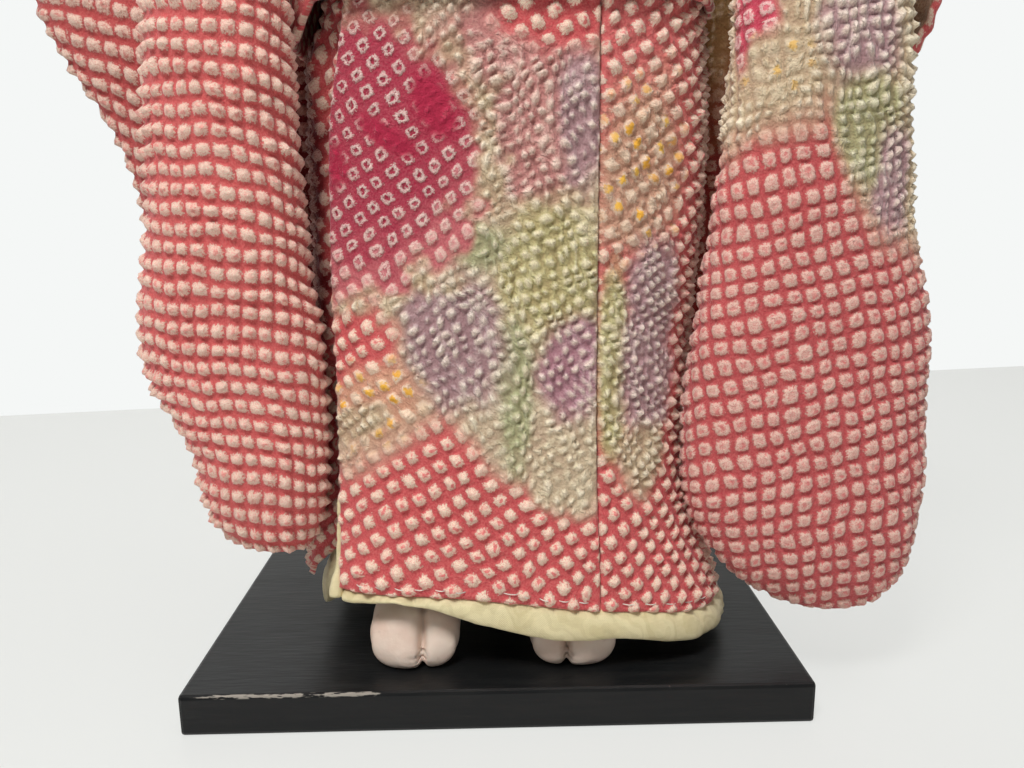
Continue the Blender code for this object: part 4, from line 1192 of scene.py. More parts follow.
@dataclass
class CrepePanel:
    """Sewn panel of crepe that hangs on the dressed body from the waist to its hem."""

    name: str
    start: Edge
    end: Edge
    hem: Hem
    dye: Dye
    lattice: Lattice
    inset: float = 0.0
    thickness: float = 0.0026
    top: float = 0.2147
    step: float = 0.0007
    block: int = 8
    rise: float = 0.0021
    pattern_from_end: bool = False
    pattern_start: float = 0.031
    flat: Pair = (0.11, 0.24)
    swell_from: float = math.tau
    surface: Grid = field(default=None, init=False, repr=False)
    heights: Grid = field(default=None, init=False, repr=False)

    def depth(self, height: Grid, turn: Grid) -> Grid:
        """Inset of the panel, which swells out past a turn where nothing covers it.

        Args:
            height: Heights above the board, in metres.
            turn: Turns round the body, in radians.

        Returns:
            The inset from the body's form at each place.
        """
        beyond = smooth((turn - self.swell_from) / math.radians(7.0))
        share = beyond * smooth((0.196 - height) / 0.012)
        return self.inset + (0.0014 - self.inset) * share

    def build(self, material: Material) -> Item:
        """Build the panel's closed sheet.

        Each row runs between two turns at even steps of arc length, and each
        column falls from the top to the hem at even shares. The outer side is
        moved along its normal by the relief and by slow waves.

        Args:
            material: Finish of the cloth.

        Returns:
            The new object.
        """
        hem_middle = float(self.hem(np.array(0.0), np.array(math.pi / 2)))
        rows = steps_between(self.top - hem_middle, self.step, self.block)
        share = np.linspace(0.0, 1.0, rows)
        nominal = self.top + (hem_middle - self.top) * share
        start, end = self.start(nominal), self.end(nominal)
        dense = np.linspace(0.0, 1.0, 600)
        middle = rows // 2
        probe_turn = start[middle] + (end[middle] - start[middle]) * dense
        length = travel(FORM.point(nominal[middle], probe_turn, self.inset))
        columns = steps_between(length[-1], self.step, self.block)
        across = np.interp(np.linspace(0.0, length[-1], columns), length, dense)
        turn = start[:, None] + (end - start)[:, None] * across[None, :]
        x = FORM.point(nominal[:, None], turn, self.inset)[..., 0]
        height = self.top + (self.hem(x, turn) - self.top) * share[:, None]
        base = FORM.point(height, turn, self.depth(height, turn) + self.rise * 0.5)
        run = travel(base, 1)
        origin = run[:, -1:] if self.pattern_from_end else 0.0
        s = self.pattern_start - (run - origin)
        relief, paint = crepe_paint(self.dye, self.lattice, s, height)
        side_edge = np.minimum(run, run[:, -1:] - run)
        hem_edge = height - height[-1:, :]
        edge = np.minimum(side_edge, hem_edge)
        reach = np.clip(1.0 - edge / 0.0013, 0.0, 1.0)
        lip = 0.5 * self.thickness * (1.0 - np.sqrt(1.0 - reach**2))
        place = np.stack([s, height], axis=-1)
        wave = 0.0006 * noise(place, (0.022, 0.055), 71) + 0.0003 * noise(place, (0.009, 0.02), 72)
        normal = outward(base)
        lift = relief * self.rise * (0.35 + 0.65 * smooth(edge / 0.002)) + wave
        outer = base + normal * (lift - lip)[..., None]
        inner = base - normal * (self.thickness - lip - wave)[..., None]
        self.surface, self.heights = outer + normal * 0.00012, hem_edge
        skin = Skin()
        closed_sheet(skin, outer, inner, self.block, **paint)
        item = finish_piece(skin.to_object(self.name + "_cloth", material), "crepe", self.name)
        return item

    def stitches(self, material: Material) -> Item:
        """White running stitches along the hem.

        Each stitch is a short tube between two points of one row of the panel's
        surface, sunk at both ends.

        Args:
            material: Finish of the thread.

        Returns:
            The new object.
        """
        above, spacing, span, margin = 0.003, 9, 4, 6
        columns = self.surface.shape[1]
        skin = Skin()
        arc = np.sin(np.linspace(0.0, math.pi, span + 1))
        for first in range(margin, columns - span - margin, spacing):
            pick = np.arange(first, first + span + 1)
            row = np.argmin(np.abs(self.heights[:, pick] - above), axis=0)
            ends = self.surface[row, pick]
            path = ends[0] + (ends[-1] - ends[0]) * np.linspace(0, 1, span + 1)[:, None]
            path[:, 1] += 0.0002 - 0.0005 * arc
            tube(skin, path, 0.00016, 6)
        return finish_piece(skin.to_object(self.name + "_stitches", material), "crepe")


@dataclass
class HemLining:
    """Cream silk lining whose lower edge is a soft padded roll under a hem."""

    name: str
    start: Edge
    end: Edge
    low: Hem
    cover: Hem
    inset: float = 0.0031
    top: float = 0.064
    puff: float = 0.0026
    flat: Pair = (0.2, 0.06)

    def build(self, material: Material) -> Item:
        """Build the lining.

        At each turn the section is a closed smooth loop of inset and height: flat
        behind the hem, swelling forwards under it and coming back up inside.
        Slanted noise gathers the roll.
        """
        count = steps_between(0.16, 0.0009, 1)
        share = np.linspace(0.0, 1.0, count)
        level = np.full(count, 0.025)
        turn = self.start(level) + (self.end(level) - self.start(level)) * share
        x = FORM.point(level, turn, self.inset)[:, 0]
        low, cover = self.low(x, turn), self.cover(x, turn)
        drop = np.maximum(cover - low, 0.002)
        end_fade = smooth(np.minimum(share, 1.0 - share) / 0.02)
        front = self.inset - self.puff * (0.3 + 0.7 * end_fade)
        back = self.inset + 0.0018
        pairs = (
            (self.inset, self.top),
            (self.inset, cover + 0.006),
            (self.inset + 0.0001, cover + 0.0016),
            (front + 0.0005, cover - 0.15 * drop - 0.0004),
            (front, cover - 0.50 * drop - 0.0004),
            (front + 0.0006, low + 0.12 * drop),
            (0.5 * (front + back), low),
            (back + 0.0010, low + 0.12 * drop),
            (back + 0.0014, low + 0.5 * drop),
            (back, cover + 0.002),
            (back, cover + 0.006),
            (back, self.top),
        )
        section = np.stack([np.stack(np.broadcast_arrays(*pair, share)[:2], axis=-1) for pair in pairs])
        rows = 70
        knots = np.linspace(0.0, 1.0, len(section))
        curve = Curve(np.column_stack([knots, section.reshape(len(section), -1)]).tolist(), 1.0)
        profile = curve.at(np.linspace(0.0, 1.0, rows)).reshape(rows, count, 2)
        depth, height = profile[..., 0], profile[..., 1]
        run = travel(FORM.point(level, turn, 0.0))
        place = np.stack([np.broadcast_to(run, (rows, count)), height], axis=-1)
        slanted = place @ np.array([[1.0, 0.35], [-0.6, 1.0]])
        roll = smooth((cover - height + 0.001) / 0.003)
        gather = 0.00050 * noise(slanted, (0.0045, 0.012), 81)
        gather = gather + 0.00025 * noise(slanted, (0.0018, 0.006), 82)
        grid = FORM.point(height, np.broadcast_to(turn, (rows, count)), depth + gather * roll)
        grid[..., 2] += 0.0006 * roll * noise(place, (0.008, 0.008), 83)
        skin = Skin()
        number = skin.add(grid)
        skin.quads(wrapped(number, 0))
        skin.polygons([number[:, 0], number[::-1, -1]])
        item = finish_piece(skin.to_object(self.name + "_silk", material), "silk_lining", self.name)
        return item


def edge_roll(material: Material) -> Item:
    """Cream lining that rolls round the lower left edge of the front overlap.

    A tube along the overlap's edge whose radius grows towards the hem and has
    small noise for its puckers.
    """
    count = 90
    height = np.linspace(0.0225, 0.054, count)
    edge = OVERLAP_EDGE.first(height)
    turn = FORM.front_turn(height, edge)
    path = FORM.point(height, turn, 0.0018)
    down = smooth((0.034 - height) / 0.012)
    path[:, 0] -= 0.0004 + 0.0009 * down
    path[:, 1] += 0.0008 * (1.0 - down)
    puckers = noise(np.stack([height, height], -1), 0.0022, 5)
    closing = np.sqrt(np.clip(1.0 - np.linspace(1.0, -1.0, count) ** 24, 0.02, 1.0))
    radius = (0.0010 + 0.0016 * down + 0.00018 * puckers) * closing
    skin = Skin()
    tube(skin, path, radius, 16)
    return finish_piece(skin.to_object("overlap_edge_roll", material), "silk_lining")


@dataclass
class Skirt:
    """Skirt of the kimono: four crepe panels, three hem linings, rolls and stitches."""

    seam_x: float = 0.031
    right_side: float = math.radians(-35.0)
    left_side: float = math.radians(188.0)
    under_start: float = math.radians(86.0)
    back_end: float = math.radians(340.0)
    second_layer: float = 0.0054
    under_hem: float = 0.0210
    under_lining: float = 0.0100
    back_hem: float = 0.0120
    back_lining: float = 0.0070
    lift: float = 0.0180

    def seam(self, height: Grid) -> Grid:
        """Turn of the seam between gusset and body panel."""
        return FORM.front_turn(height, self.seam_x)

    @staticmethod
    def fixed(value: float) -> Edge:
        """A side edge that keeps one turn."""
        return lambda height: np.full_like(height, value)

    @staticmethod
    def front_hem(x: Grid, turn: Grid) -> Grid:
        """Hem of the front panels."""
        return FRONT_HEM.first(x)

    @staticmethod
    def front_lining(x: Grid, turn: Grid) -> Grid:
        """Lower edge of the front lining."""
        return LINING_HEM.first(x)

    def lifted(self, value: float) -> Hem:
        """Hem at one height at the side, rising in front over the feet."""
        def hem(x: Grid, turn: Grid) -> Grid:
            share = (math.radians(165.0) - turn) / math.radians(25.0)
            return value + self.lift * smooth(share)

        return hem

    @staticmethod
    def level(value: float) -> Hem:
        """Hem at one height."""
        return lambda x, turn: np.full_like(turn, value)

    def build(self, crepe: Material, silk: Material, thread: Material) -> None:
        """Build every piece of the skirt."""
        front = Lattice(0.0056, 0.0056, 31.0)
        gusset = CrepePanel(
            "front_overlap_gusset", lambda h: self.seam(h) + 0.0022,
            lambda h: FORM.front_turn(h, OVERLAP_EDGE.first(h)), self.front_hem, GUSSET_DYE, front,
            flat=(0.083, 0.195),
        )
        gusset.build(crepe)
        gusset.stitches(thread)
        body = CrepePanel(
            "front_body_panel", self.fixed(self.right_side), self.seam, self.front_hem, PANEL_DYE,
            Lattice(0.0052, 0.0052, 31.0, seed=8), pattern_from_end=True, rise=0.0023, flat=(0.107, 0.200),
        )
        body.build(crepe)
        body.stitches(thread)
        CrepePanel(
            "under_panel", self.fixed(self.under_start), self.fixed(self.left_side),
            self.lifted(self.under_hem), UNDER_DYE_AND_PAINTED_SHADE, Lattice(0.0056, 0.0056, 31.0, seed=9),
            inset=self.second_layer, step=0.0010, flat=(0.104, 0.194), swell_from=math.radians(150.0),
        ).build(crepe)
        CrepePanel(
            "back_panel", self.fixed(self.left_side + 0.0075), self.fixed(self.back_end),
            self.level(self.back_hem), BACK_DYE, Lattice(0.0056, 0.0056, 31.0, seed=10),
            inset=self.second_layer, step=0.0010, pattern_start=-0.060, flat=(0.140, 0.203),
        ).build(crepe)
        HemLining(
            "front_hem_lining", self.fixed(self.right_side),
            lambda h: FORM.front_turn(h, OVERLAP_EDGE.first(h)), self.front_lining, self.front_hem,
            flat=(0.190, 0.057),
        ).build(silk)
        second = self.second_layer + 0.0031
        HemLining(
            "under_hem_lining", self.fixed(self.under_start), self.fixed(self.left_side),
            self.lifted(self.under_lining), self.lifted(self.under_hem), inset=second, puff=0.0020,
            flat=(0.100, 0.050),
        ).build(silk)
        HemLining(
            "back_hem_lining", self.fixed(self.left_side + 0.0075), self.fixed(self.back_end),
            self.level(self.back_lining), self.level(self.back_hem), inset=second, puff=0.0020,
            flat=(0.145, 0.062),
        ).build(silk)
        edge_roll(silk)


@dataclass
class CrepeBag:
    """Soft bag of crepe between rows of inner and outer edge points."""

    name: str
    rows: Rows
    dye: Dye
    lattice: Lattice
    side: int
    step: float = 0.00075
    back_step: float = 1.7
    rise: float = 0.0019
    square: float = 2.3
    fill: float = 0.4
    round_end: float = 0.003

    def rings(self) -> tuple[Grid, Grid, Grid]:
        """Base surface of the bag.

        The six numbers of the rows are carried along the bag by smooth curves.
        Each ring is a superellipse between its edge points, with its columns at
        even steps of arc length from the back seam, closer together in front.

        Returns:
            The grid with its first column repeated, the pattern's across
            coordinate and the height above the board.
        """
        data = np.array(self.rows, dtype=float) * MM
        centre = np.column_stack([(data[:, 0:2] + data[:, 2:4]) / 2, data[:, 4]])
        chord = travel(centre)
        curve = Curve(np.column_stack([chord, data]).tolist(), 1.0)
        where = np.linspace(0.0, chord[-1], steps_between(chord[-1], self.step, 1))
        carried = np.moveaxis(curve.at(where), -1, 0)[..., None]
        inner_x, inner_h, outer_x, outer_h, middle_y, half_depth = carried
        from_end = np.minimum(where, chord[-1] - where)[:, None]
        close = np.sqrt(1.0 - np.clip(1.0 - from_end / self.round_end, 0.0, 0.985) ** 2)
        half_turn = 360
        angle = np.linspace(0.5 * math.pi, 2.5 * math.pi, 2 * half_turn + 1)[None, :]
        share = 0.5 - 0.5 * close * signed_power(np.cos(angle), 2 / self.square)
        x = inner_x + (outer_x - inner_x) * share
        h = inner_h + (outer_h - inner_h) * share
        y = middle_y + half_depth * close * signed_power(np.sin(angle), 2 / self.square)
        dense = np.stack([x, y, h], axis=-1)
        length = travel(dense, 1)
        longest = float(length[:, -1].max())
        front_share = 0.60
        front_columns = longest * front_share / self.step
        columns = math.ceil(front_columns + longest * (1 - front_share) / (self.step * self.back_step))
        fine = front_columns / columns
        knots = [0.0, 0.5 - fine / 2, 0.5 + fine / 2, 1.0]
        weight = [0.0, 0.5 - front_share / 2, 0.5 + front_share / 2, 1.0]
        target = np.interp(np.linspace(0.0, 1.0, columns + 1), knots, weight)
        goal = target[None, :] * length[:, -1:]
        picked = np.empty((len(where), columns + 1, 3))
        for row in range(len(where)):
            for axis in range(3):
                picked[row, :, axis] = np.interp(goal[row], length[row], dense[row, :, axis])
        front = slice(half_turn, half_turn + 1)
        s = dense[:, front, 0] - self.side * (goal - length[:, front])
        return picked, s, picked[..., 2].copy()

    def build(self, material: Material) -> Item:
        """Build the bag as a padded piece that stands for the CAD node of its name.

        Args:
            material: Finish of the cloth.

        Returns:
            The new object.
        """
        item = finish_piece(self.cloth(material), "crepe", self.name)
        return item

    def cloth(self, material: Material) -> Item:
        """Build the bag's mesh with its relief, which fades at the back seam and the ends.

        Args:
            material: Finish of the cloth.

        Returns:
            The new object, without its slot or node.
        """
        base, s, h = self.rings()
        relief, paint = crepe_paint(self.dye, self.lattice, s, h)
        rows, columns = base.shape[:2]
        column, row = np.arange(columns)[None, :], np.arange(rows)[:, None]
        from_seam = np.minimum(column, columns - 1 - column)
        from_end = np.minimum(row, rows - 1 - row)
        fade = smooth(from_seam / 3.0) * smooth(from_end / 8.0)
        base[..., 2] += BOARD_TOP
        ring = base[:, :-1]
        normal = outward(ring, closed=True)
        slow = 0.0008 * noise(ring, (0.024, 0.024, 0.05), 61) + 0.0005 * noise(ring, 0.011, 62)
        lift = (relief * fade)[:, :-1] * self.rise - self.rise * 0.75 + slow * fade[:, :-1]
        shift = np.zeros((rows, columns, 2))
        shift[:, -1] = paint["cells"][:, -1] - paint["cells"][:, 0]
        skin = Skin()
        layers = {key: value[:, :-1] for key, value in paint.items()}
        loft(skin, ring + normal * lift[..., None], shift, **layers)
        return skin.to_object(self.name + "_cloth", material)


RIGHT_SLEEVE_ROWS = (
    (46.5, 299.0, 56.0, 300.0, -9.0, 4.0),
    (48.5, 292.0, 70.0, 291.0, -10.0, 8.0),
    (51.0, 280.0, 90.0, 276.0, -14.0, 11.0),
    (62.0, 258.0, 110.0, 252.0, -28.0, 12.5),
    (67.5, 228.0, 115.0, 226.0, -43.0, 14.0),
    (67.4, 196.0, 116.4, 196.0, -48.0, 15.0),
    (66.0, 160.0, 120.0, 160.0, -47.0, 15.5),
    (62.4, 125.0, 125.5, 128.0, -46.0, 16.0),
    (58.5, 98.0, 131.0, 108.0, -46.0, 16.5),
    (57.0, 77.0, 132.0, 76.0, -46.0, 16.5),
    (58.7, 51.0, 133.4, 52.0, -46.0, 16.0),
    (66.5, 35.5, 131.2, 32.0, -46.0, 14.5),
    (77.3, 23.6, 125.0, 19.5, -46.0, 11.5),
    (88.0, 16.5, 116.0, 13.2, -46.0, 8.0),
    (98.0, 12.0, 107.0, 11.0, -46.0, 3.5),
)
LEFT_SLEEVE_ROWS = (
    (-42.5, 299.0, -52.0, 300.0, -9.0, 4.0),
    (-44.5, 292.0, -66.0, 291.0, -10.0, 8.0),
    (-47.0, 280.0, -84.0, 274.0, -14.0, 11.0),
    (-58.0, 258.0, -92.0, 250.0, -28.0, 12.5),
    (-56.0, 228.0, -92.0, 226.0, -44.0, 14.5),
    (-53.4, 196.0, -92.8, 196.0, -50.0, 15.5),
    (-53.2, 160.0, -97.0, 158.0, -48.0, 16.0),
    (-52.6, 122.0, -101.0, 126.0, -47.0, 16.5),
    (-50.2, 107.0, -104.5, 108.0, -46.0, 16.5),
    (-49.2, 85.0, -102.0, 88.0, -46.0, 16.5),
    (-49.6, 68.0, -93.3, 70.0, -46.0, 16.0),
    (-51.0, 55.0, -90.2, 54.0, -46.0, 15.0),
    (-53.5, 43.0, -85.0, 43.0, -46.0, 12.0),
    (-58.0, 36.5, -77.0, 37.0, -46.0, 8.0),
    (-63.5, 34.2, -70.0, 34.0, -46.0, 3.5),
)
RIGHT_FOLD_ROWS = (
    (64.0, 288.0, 72.0, 289.0),
    (66.0, 280.0, 84.0, 280.0),
    (70.0, 264.0, 99.0, 262.0),
    (76.0, 246.0, 110.0, 243.0),
    (80.0, 226.0, 111.2, 224.0),
    (80.0, 205.0, 111.2, 205.0),
    (80.0, 192.0, 111.0, 190.0),
    (84.0, 182.0, 107.0, 180.0),
    (92.0, 177.0, 100.0, 176.0),
)
LEFT_FOLD_ROWS = (
    (-60.0, 288.0, -68.0, 290.0),
    (-62.0, 281.0, -88.0, 282.0),
    (-66.0, 266.0, -118.0, 268.0),
    (-70.0, 250.0, -133.0, 254.0),
    (-70.0, 234.0, -135.0, 238.0),
    (-68.0, 220.0, -135.1, 222.0),
    (-68.0, 204.0, -135.1, 204.0),
    (-70.0, 184.0, -128.7, 186.0),
    (-72.0, 168.0, -118.5, 168.0),
    (-76.0, 150.0, -112.0, 150.0),
    (-84.0, 134.0, -109.0, 134.0),
    (-92.0, 124.0, -103.0, 124.0),
)
RIGHT_LAYER_ROWS = (
    (52.0, 270.0, 62.0, 270.0, -8.0, 0.8),
    (51.0, 256.0, 82.0, 256.0, -4.0, 1.1),
    (50.0, 236.0, 90.0, 236.0, 0.0, 1.2),
    (50.0, 200.0, 91.0, 200.0, 2.0, 1.2),
    (51.0, 160.0, 88.0, 160.0, 3.0, 1.2),
    (53.0, 100.0, 80.0, 100.0, 3.0, 1.1),
    (56.0, 84.0, 74.0, 84.0, 3.0, 0.8),
)
LEFT_LAYER_ROWS = (
    (-50.0, 270.0, -58.0, 270.0, -8.0, 0.8),
    (-50.0, 256.0, -66.0, 256.0, -4.0, 1.1),
    (-50.0, 236.0, -72.0, 236.0, 0.0, 1.2),
    (-50.0, 200.0, -72.0, 200.0, 2.0, 1.2),
    (-51.0, 150.0, -72.0, 150.0, 3.0, 1.2),
    (-53.0, 108.0, -72.0, 108.0, 3.0, 1.1),
    (-56.0, 96.0, -68.0, 96.0, 3.0, 0.8),
)


CUFF_SHIFT = 0.0021
CUFF_MOUTH = -0.022


def inner_layer(side: str, rows: Rows, dye: Dye, sign: int, material: Material) -> Item:
    """Back layer of a sleeve's inner opening, which hangs between the roll and the skirt.

    Args:
        side: right or left.
        rows: Edge points of the layer.
        dye: Colours of the cloth, darkened as painted shade.
        sign: 1 on the right and -1 on the left.
        material: Finish of the cloth.

    Returns:
        The new object.
    """
    lattice = Lattice(0.0052, 0.0056, 4.0, seed=40 + sign)
    layer = CrepeBag(
        side + "_sleeve_inner_layer", rows, dye, lattice, sign, step=0.0012, rise=0.0010, square=2.0
    )
    item = finish_piece(layer.cloth(material), "crepe")
    return item


def fold_rows(rolls: Rows, folds: Rows) -> Rows:
    """Rows of a rear fold, each set behind the roll by the fold gap and its half depth.

    Args:
        rolls: Rows of the sleeve's roll, from the top down.
        folds: Edge points of the fold, from the top down.

    Returns:
        The fold's rows with their middle depth and half depth.
    """
    half, gap = 6.5, 0.8
    back = [row[4] + row[5] for row in rolls[::-1]]
    made = []
    for index, row in enumerate(folds):
        end = min(index, len(folds) - 1 - index)
        depth = half * (0.5, 0.85, 1.0)[min(end, 2)]
        edges = [[roll[column] for roll in rolls[::-1]] for column in (1, 3)]
        behind = max(np.interp(row[1], edge, back) for edge in edges)
        made.append((*row, float(behind) + gap + depth, depth))
    return tuple(made)


@dataclass
class Cuff:
    """Cupped end of a sleeve, open to the front, with a scalloped coral rim."""

    side: str
    x: float
    height: float
    half_width: float = 0.0161
    half_height: float = 0.026
    depth: float = 0.0125
    wall: float = 0.0030
    mouth: float = CUFF_MOUTH

    def build(self, crepe: Material) -> Item:
        """Build the cuff as a bowl.

        Outer and inner walls are squashed half spheres joined by a rounded rim:
        scale = sin(lean), distance back = depth cos(lean). Relief moves the outer
        wall out, and the rim is scalloped by a sine of the angle.
        """
        scallops = 19.0
        angle = full_turn(152)
        lean = np.radians(np.linspace(3.0, 90.0, 30))
        back = lean[::-1]
        scale_in = 1.0 - self.wall / self.half_width
        rim = np.linspace(0.15, 1.0, 7) * math.pi
        middle, half = (1.0 + scale_in) / 2, (1.0 - scale_in) / 2
        outer_wall = np.column_stack([np.sin(lean), self.depth * np.cos(lean)])
        lip = np.column_stack([middle + half * np.cos(rim), -0.0012 * np.sin(rim)])
        inner_wall = np.column_stack([scale_in * np.sin(back), (self.depth - self.wall) * np.cos(back)])
        rows = np.concatenate([outer_wall, lip, inner_wall])
        near_rim = smooth((rows[:, 0] - 0.6) / 0.4)[:, None]
        wave = 1.0 + 0.022 * np.sin(angle * scallops)[None, :] * near_rim
        x = self.x + self.half_width * rows[:, :1] * np.cos(angle) * wave
        h = self.height + self.half_height * rows[:, :1] * np.sin(angle) * wave
        y = self.mouth + np.broadcast_to(rows[:, 1:], x.shape)
        grid = np.stack([x, y, h + BOARD_TOP], axis=-1)
        lattice = Lattice(1.0, 1.0)
        turns = angle * scallops / math.tau
        down = travel(rows * (0.02, 1.0))[:, None]
        cells = np.stack(np.broadcast_arrays(turns[None, :], down / 0.0052), axis=-1)
        is_inner = np.arange(len(rows))[:, None] >= len(outer_wall) + 5
        marks = np.zeros((*x.shape, 4))
        marks[..., 0] = np.where(is_inner, 0.0, 1.0)
        # Inner wall: dark brownish cream, part lining colour and part painted shade inside the cup.
        ground = np.where(is_inner[..., None], srgb(150, 118, 92), CORAL)
        dot = np.broadcast_to(np.array(CREAM_DOT), (*x.shape, 3))
        relief = np.clip(1.0 - lattice.reach(cells), 0.0, 1.0) ** 0.75 * marks[..., 0]
        grid = grid + outward(grid, closed=True) * (relief * 0.0010)[..., None]
        skin = Skin()
        ground = np.broadcast_to(ground, (*x.shape, 3))
        loft(skin, grid, cells=cells, ground=four(ground), dot=four(dot), marks=marks)
        item = finish_piece(skin.to_object(self.side + "_cuff_cloth", crepe), "crepe", self.side + "_cuff")
        return item


@dataclass
class Hand:
    """Small moulded hand with joined fingers."""

    side: str
    x: float
    height: float
    wrist: float = CUFF_MOUTH + 0.77 * 0.0095
    rows: Rows = (
        (0, 6.0, 5.2), (9, 6.4, 5.0), (17, 8.2, 4.9), (26, 8.6, 4.2), (33, 7.2, 3.4), (36.5, 4.6, 2.2),
        (38, 1.2, 0.7),
    )

    def build(self, gofun: Material) -> Item:
        """Build the hand.

        Rings of half height and half thickness run forwards from the wrist, and
        three grooves of Gaussian section part the fingers beyond the palm.
        """
        fingertips = 0.033 + 0.005 * np.sin(np.linspace(0.05, 1.0, 22) * math.pi / 2)
        distance = np.concatenate([np.linspace(0.0, 0.033, 50), fingertips])
        angle = full_turn(72)
        half_height, half_thick = np.moveaxis(Curve(self.rows).at(distance), -1, 0)[..., None]
        up = half_height * np.sin(angle)
        fingers = smooth((distance[:, None] - 0.019) / 0.005)
        groove = sum(np.exp(-(((up - place) / 0.0006) ** 2)) for place in (-0.0042, 0.0, 0.0042))
        thin = 1.0 - 0.30 * fingers * groove
        x = self.x + half_thick * np.cos(angle) * thin
        h = self.height + 0.004 + up
        y = np.broadcast_to(self.wrist - distance[:, None], x.shape)
        skin = Skin()
        loft(skin, np.stack([x, y, h + BOARD_TOP], axis=-1))
        return finish_piece(skin.to_object(self.side + "_hand_moulded", gofun), "gofun", self.side + "_hand")


@dataclass
class Leg:
    """Lower leg with a foot split between the big toe and the others."""

    name: str
    x: float
    inner_side: int
    rows: Rows = (
        (-59.4, 4.6, 0.0, 5.0, 2.8),
        (-57.8, 5.6, 0.0, 10.4, 5.3),
        (-54.0, 8.2, 4.0, 13.4, 8.3),
        (-48.0, 10.2, 8.0, 14.0, 10.4),
        (-41.0, 12.0, 15.0, 13.5, 12.4),
        (-33.0, 14.0, 28.0, 12.5, 15.0),
        (-25.0, 16.0, 48.0, 11.5, 19.0),
        (-22.0, 25.0, 72.0, 11.0, 14.0),
        (-22.0, 36.0, 88.0, 10.5, 11.5),
        (-22.0, 50.0, 90.0, 11.0, 11.0),
        (-22.0, 66.0, 90.0, 12.0, 12.0),
        (-22.0, 82.0, 90.0, 12.5, 12.5),
    )

    def build(self, gofun: Material) -> Item:
        """Build the leg.

        Rings with a leaning plane follow smooth curves of the rows. The cleft is
        a Gaussian groove along the foot's front that is deepest at the toe tips.
        """
        data = np.array(self.rows, dtype=float)
        chord = travel(data[:, :2])
        curve = Curve(np.column_stack([chord, data]).tolist(), 1.0)
        where = np.concatenate([np.linspace(0.0, 22.0, 66), np.linspace(22.5, chord[-1], 64)])
        carried = np.moveaxis(curve.at(where), -1, 0)[..., None]
        middle_y, middle_h, tilt, half_width, half_thick = carried
        angle = full_turn(120)
        lean = np.radians(tilt)
        square = 2.35
        across = signed_power(np.cos(angle), 2 / square)
        up = half_thick * signed_power(np.sin(angle), 2 / square)
        x = half_width * across
        y = middle_y - up * np.sin(lean)
        h = middle_h + up * np.cos(lean)
        rings = np.stack([x, y, h], axis=-1) * MM
        centre = rings[0].mean(axis=0)
        scale = np.array([0.30, 0.62, 0.86])[:, None, None]
        ahead = np.array([0.0, -0.0006, 0.0]) * (1 - scale)
        tips = centre + (rings[0] - centre) * scale + ahead
        grid = np.concatenate([tips, rings])
        off = (grid[..., 0] - self.inner_side * 0.0025) / MM
        front = smooth((-0.036 - grid[..., 1]) / 0.016)
        above = smooth((grid[..., 2] - 0.0005) / 0.002)
        groove = (np.exp(-((off / 1.15) ** 2)) * 3.4 + np.exp(-((off / 3.2) ** 2)) * 0.9) * MM
        normal = outward(grid, closed=True)
        grid = grid - normal * (groove * front * (0.55 + 0.45 * above))[..., None]
        lumps = 0.00035 * noise(grid, 0.009, 21 + self.inner_side) + 0.00015 * noise(grid, 0.004, 25)
        grid = grid + normal * lumps[..., None]
        grid[..., 2] = np.maximum(grid[..., 2], 0.0003) + BOARD_TOP
        grid[..., 0] += self.x
        skin = Skin()
        loft(skin, grid)
        return finish_piece(skin.to_object(self.name + "_moulded", gofun), "gofun", self.name)


@dataclass
class Stuffing:
    """Stuffed cloth torso and thighs inside the kimono."""

    knee: float = 0.0825
    hip: float = 0.1517

    def build(self, cotton: Material) -> None:
        """Build the torso and both thighs as slightly lumpy closed forms."""
        turn = full_turn(180)
        rows = [(height, 0.0098) for height in np.linspace(0.1523, 0.213, 30)]
        rows += [(height, 0.0040) for height in np.linspace(0.218, 0.3025, 42)]
        heights, insets = np.array(rows).T[..., None]
        edge = smooth(np.minimum(heights - 0.1520, 0.3030 - heights) / 0.006)
        grid = FORM.point(heights, turn, insets + 0.004 * (1.0 - edge))
        grid += outward(grid, closed=True) * (0.0004 * noise(grid, 0.014, 31) - 0.0005)[..., None]
        skin = Skin()
        loft(skin, grid)
        torso = finish_piece(skin.to_object("torso_stuffed", cotton), "stuffed_cloth", "torso")
        angle = full_turn(72)
        for side, x in LEG_X.items():
            name = side + "_thigh"
            share = np.linspace(0.0, 1.0, 60)[:, None]
            closing = np.sqrt(1.0 - (2.0 * share - 1.0) ** 14 * 0.35)
            radius = 0.0132 * (0.97 + 0.06 * share) * closing
            gathered = 1.0 - smooth(np.minimum(share, 1 - share) / 0.12)
            radius = radius * (1.0 + 0.02 * np.cos(angle * 12) * gathered)
            height = self.knee + (self.hip - self.knee) * share + BOARD_TOP
            across, ahead = x + radius * np.cos(angle), LEG_Y + radius * np.sin(angle)
            grid = np.stack(np.broadcast_arrays(across, ahead, height), -1)
            skin = Skin()
            loft(skin, grid)
            thigh = finish_piece(skin.to_object(name + "_stuffed", cotton), "stuffed_cloth", name)


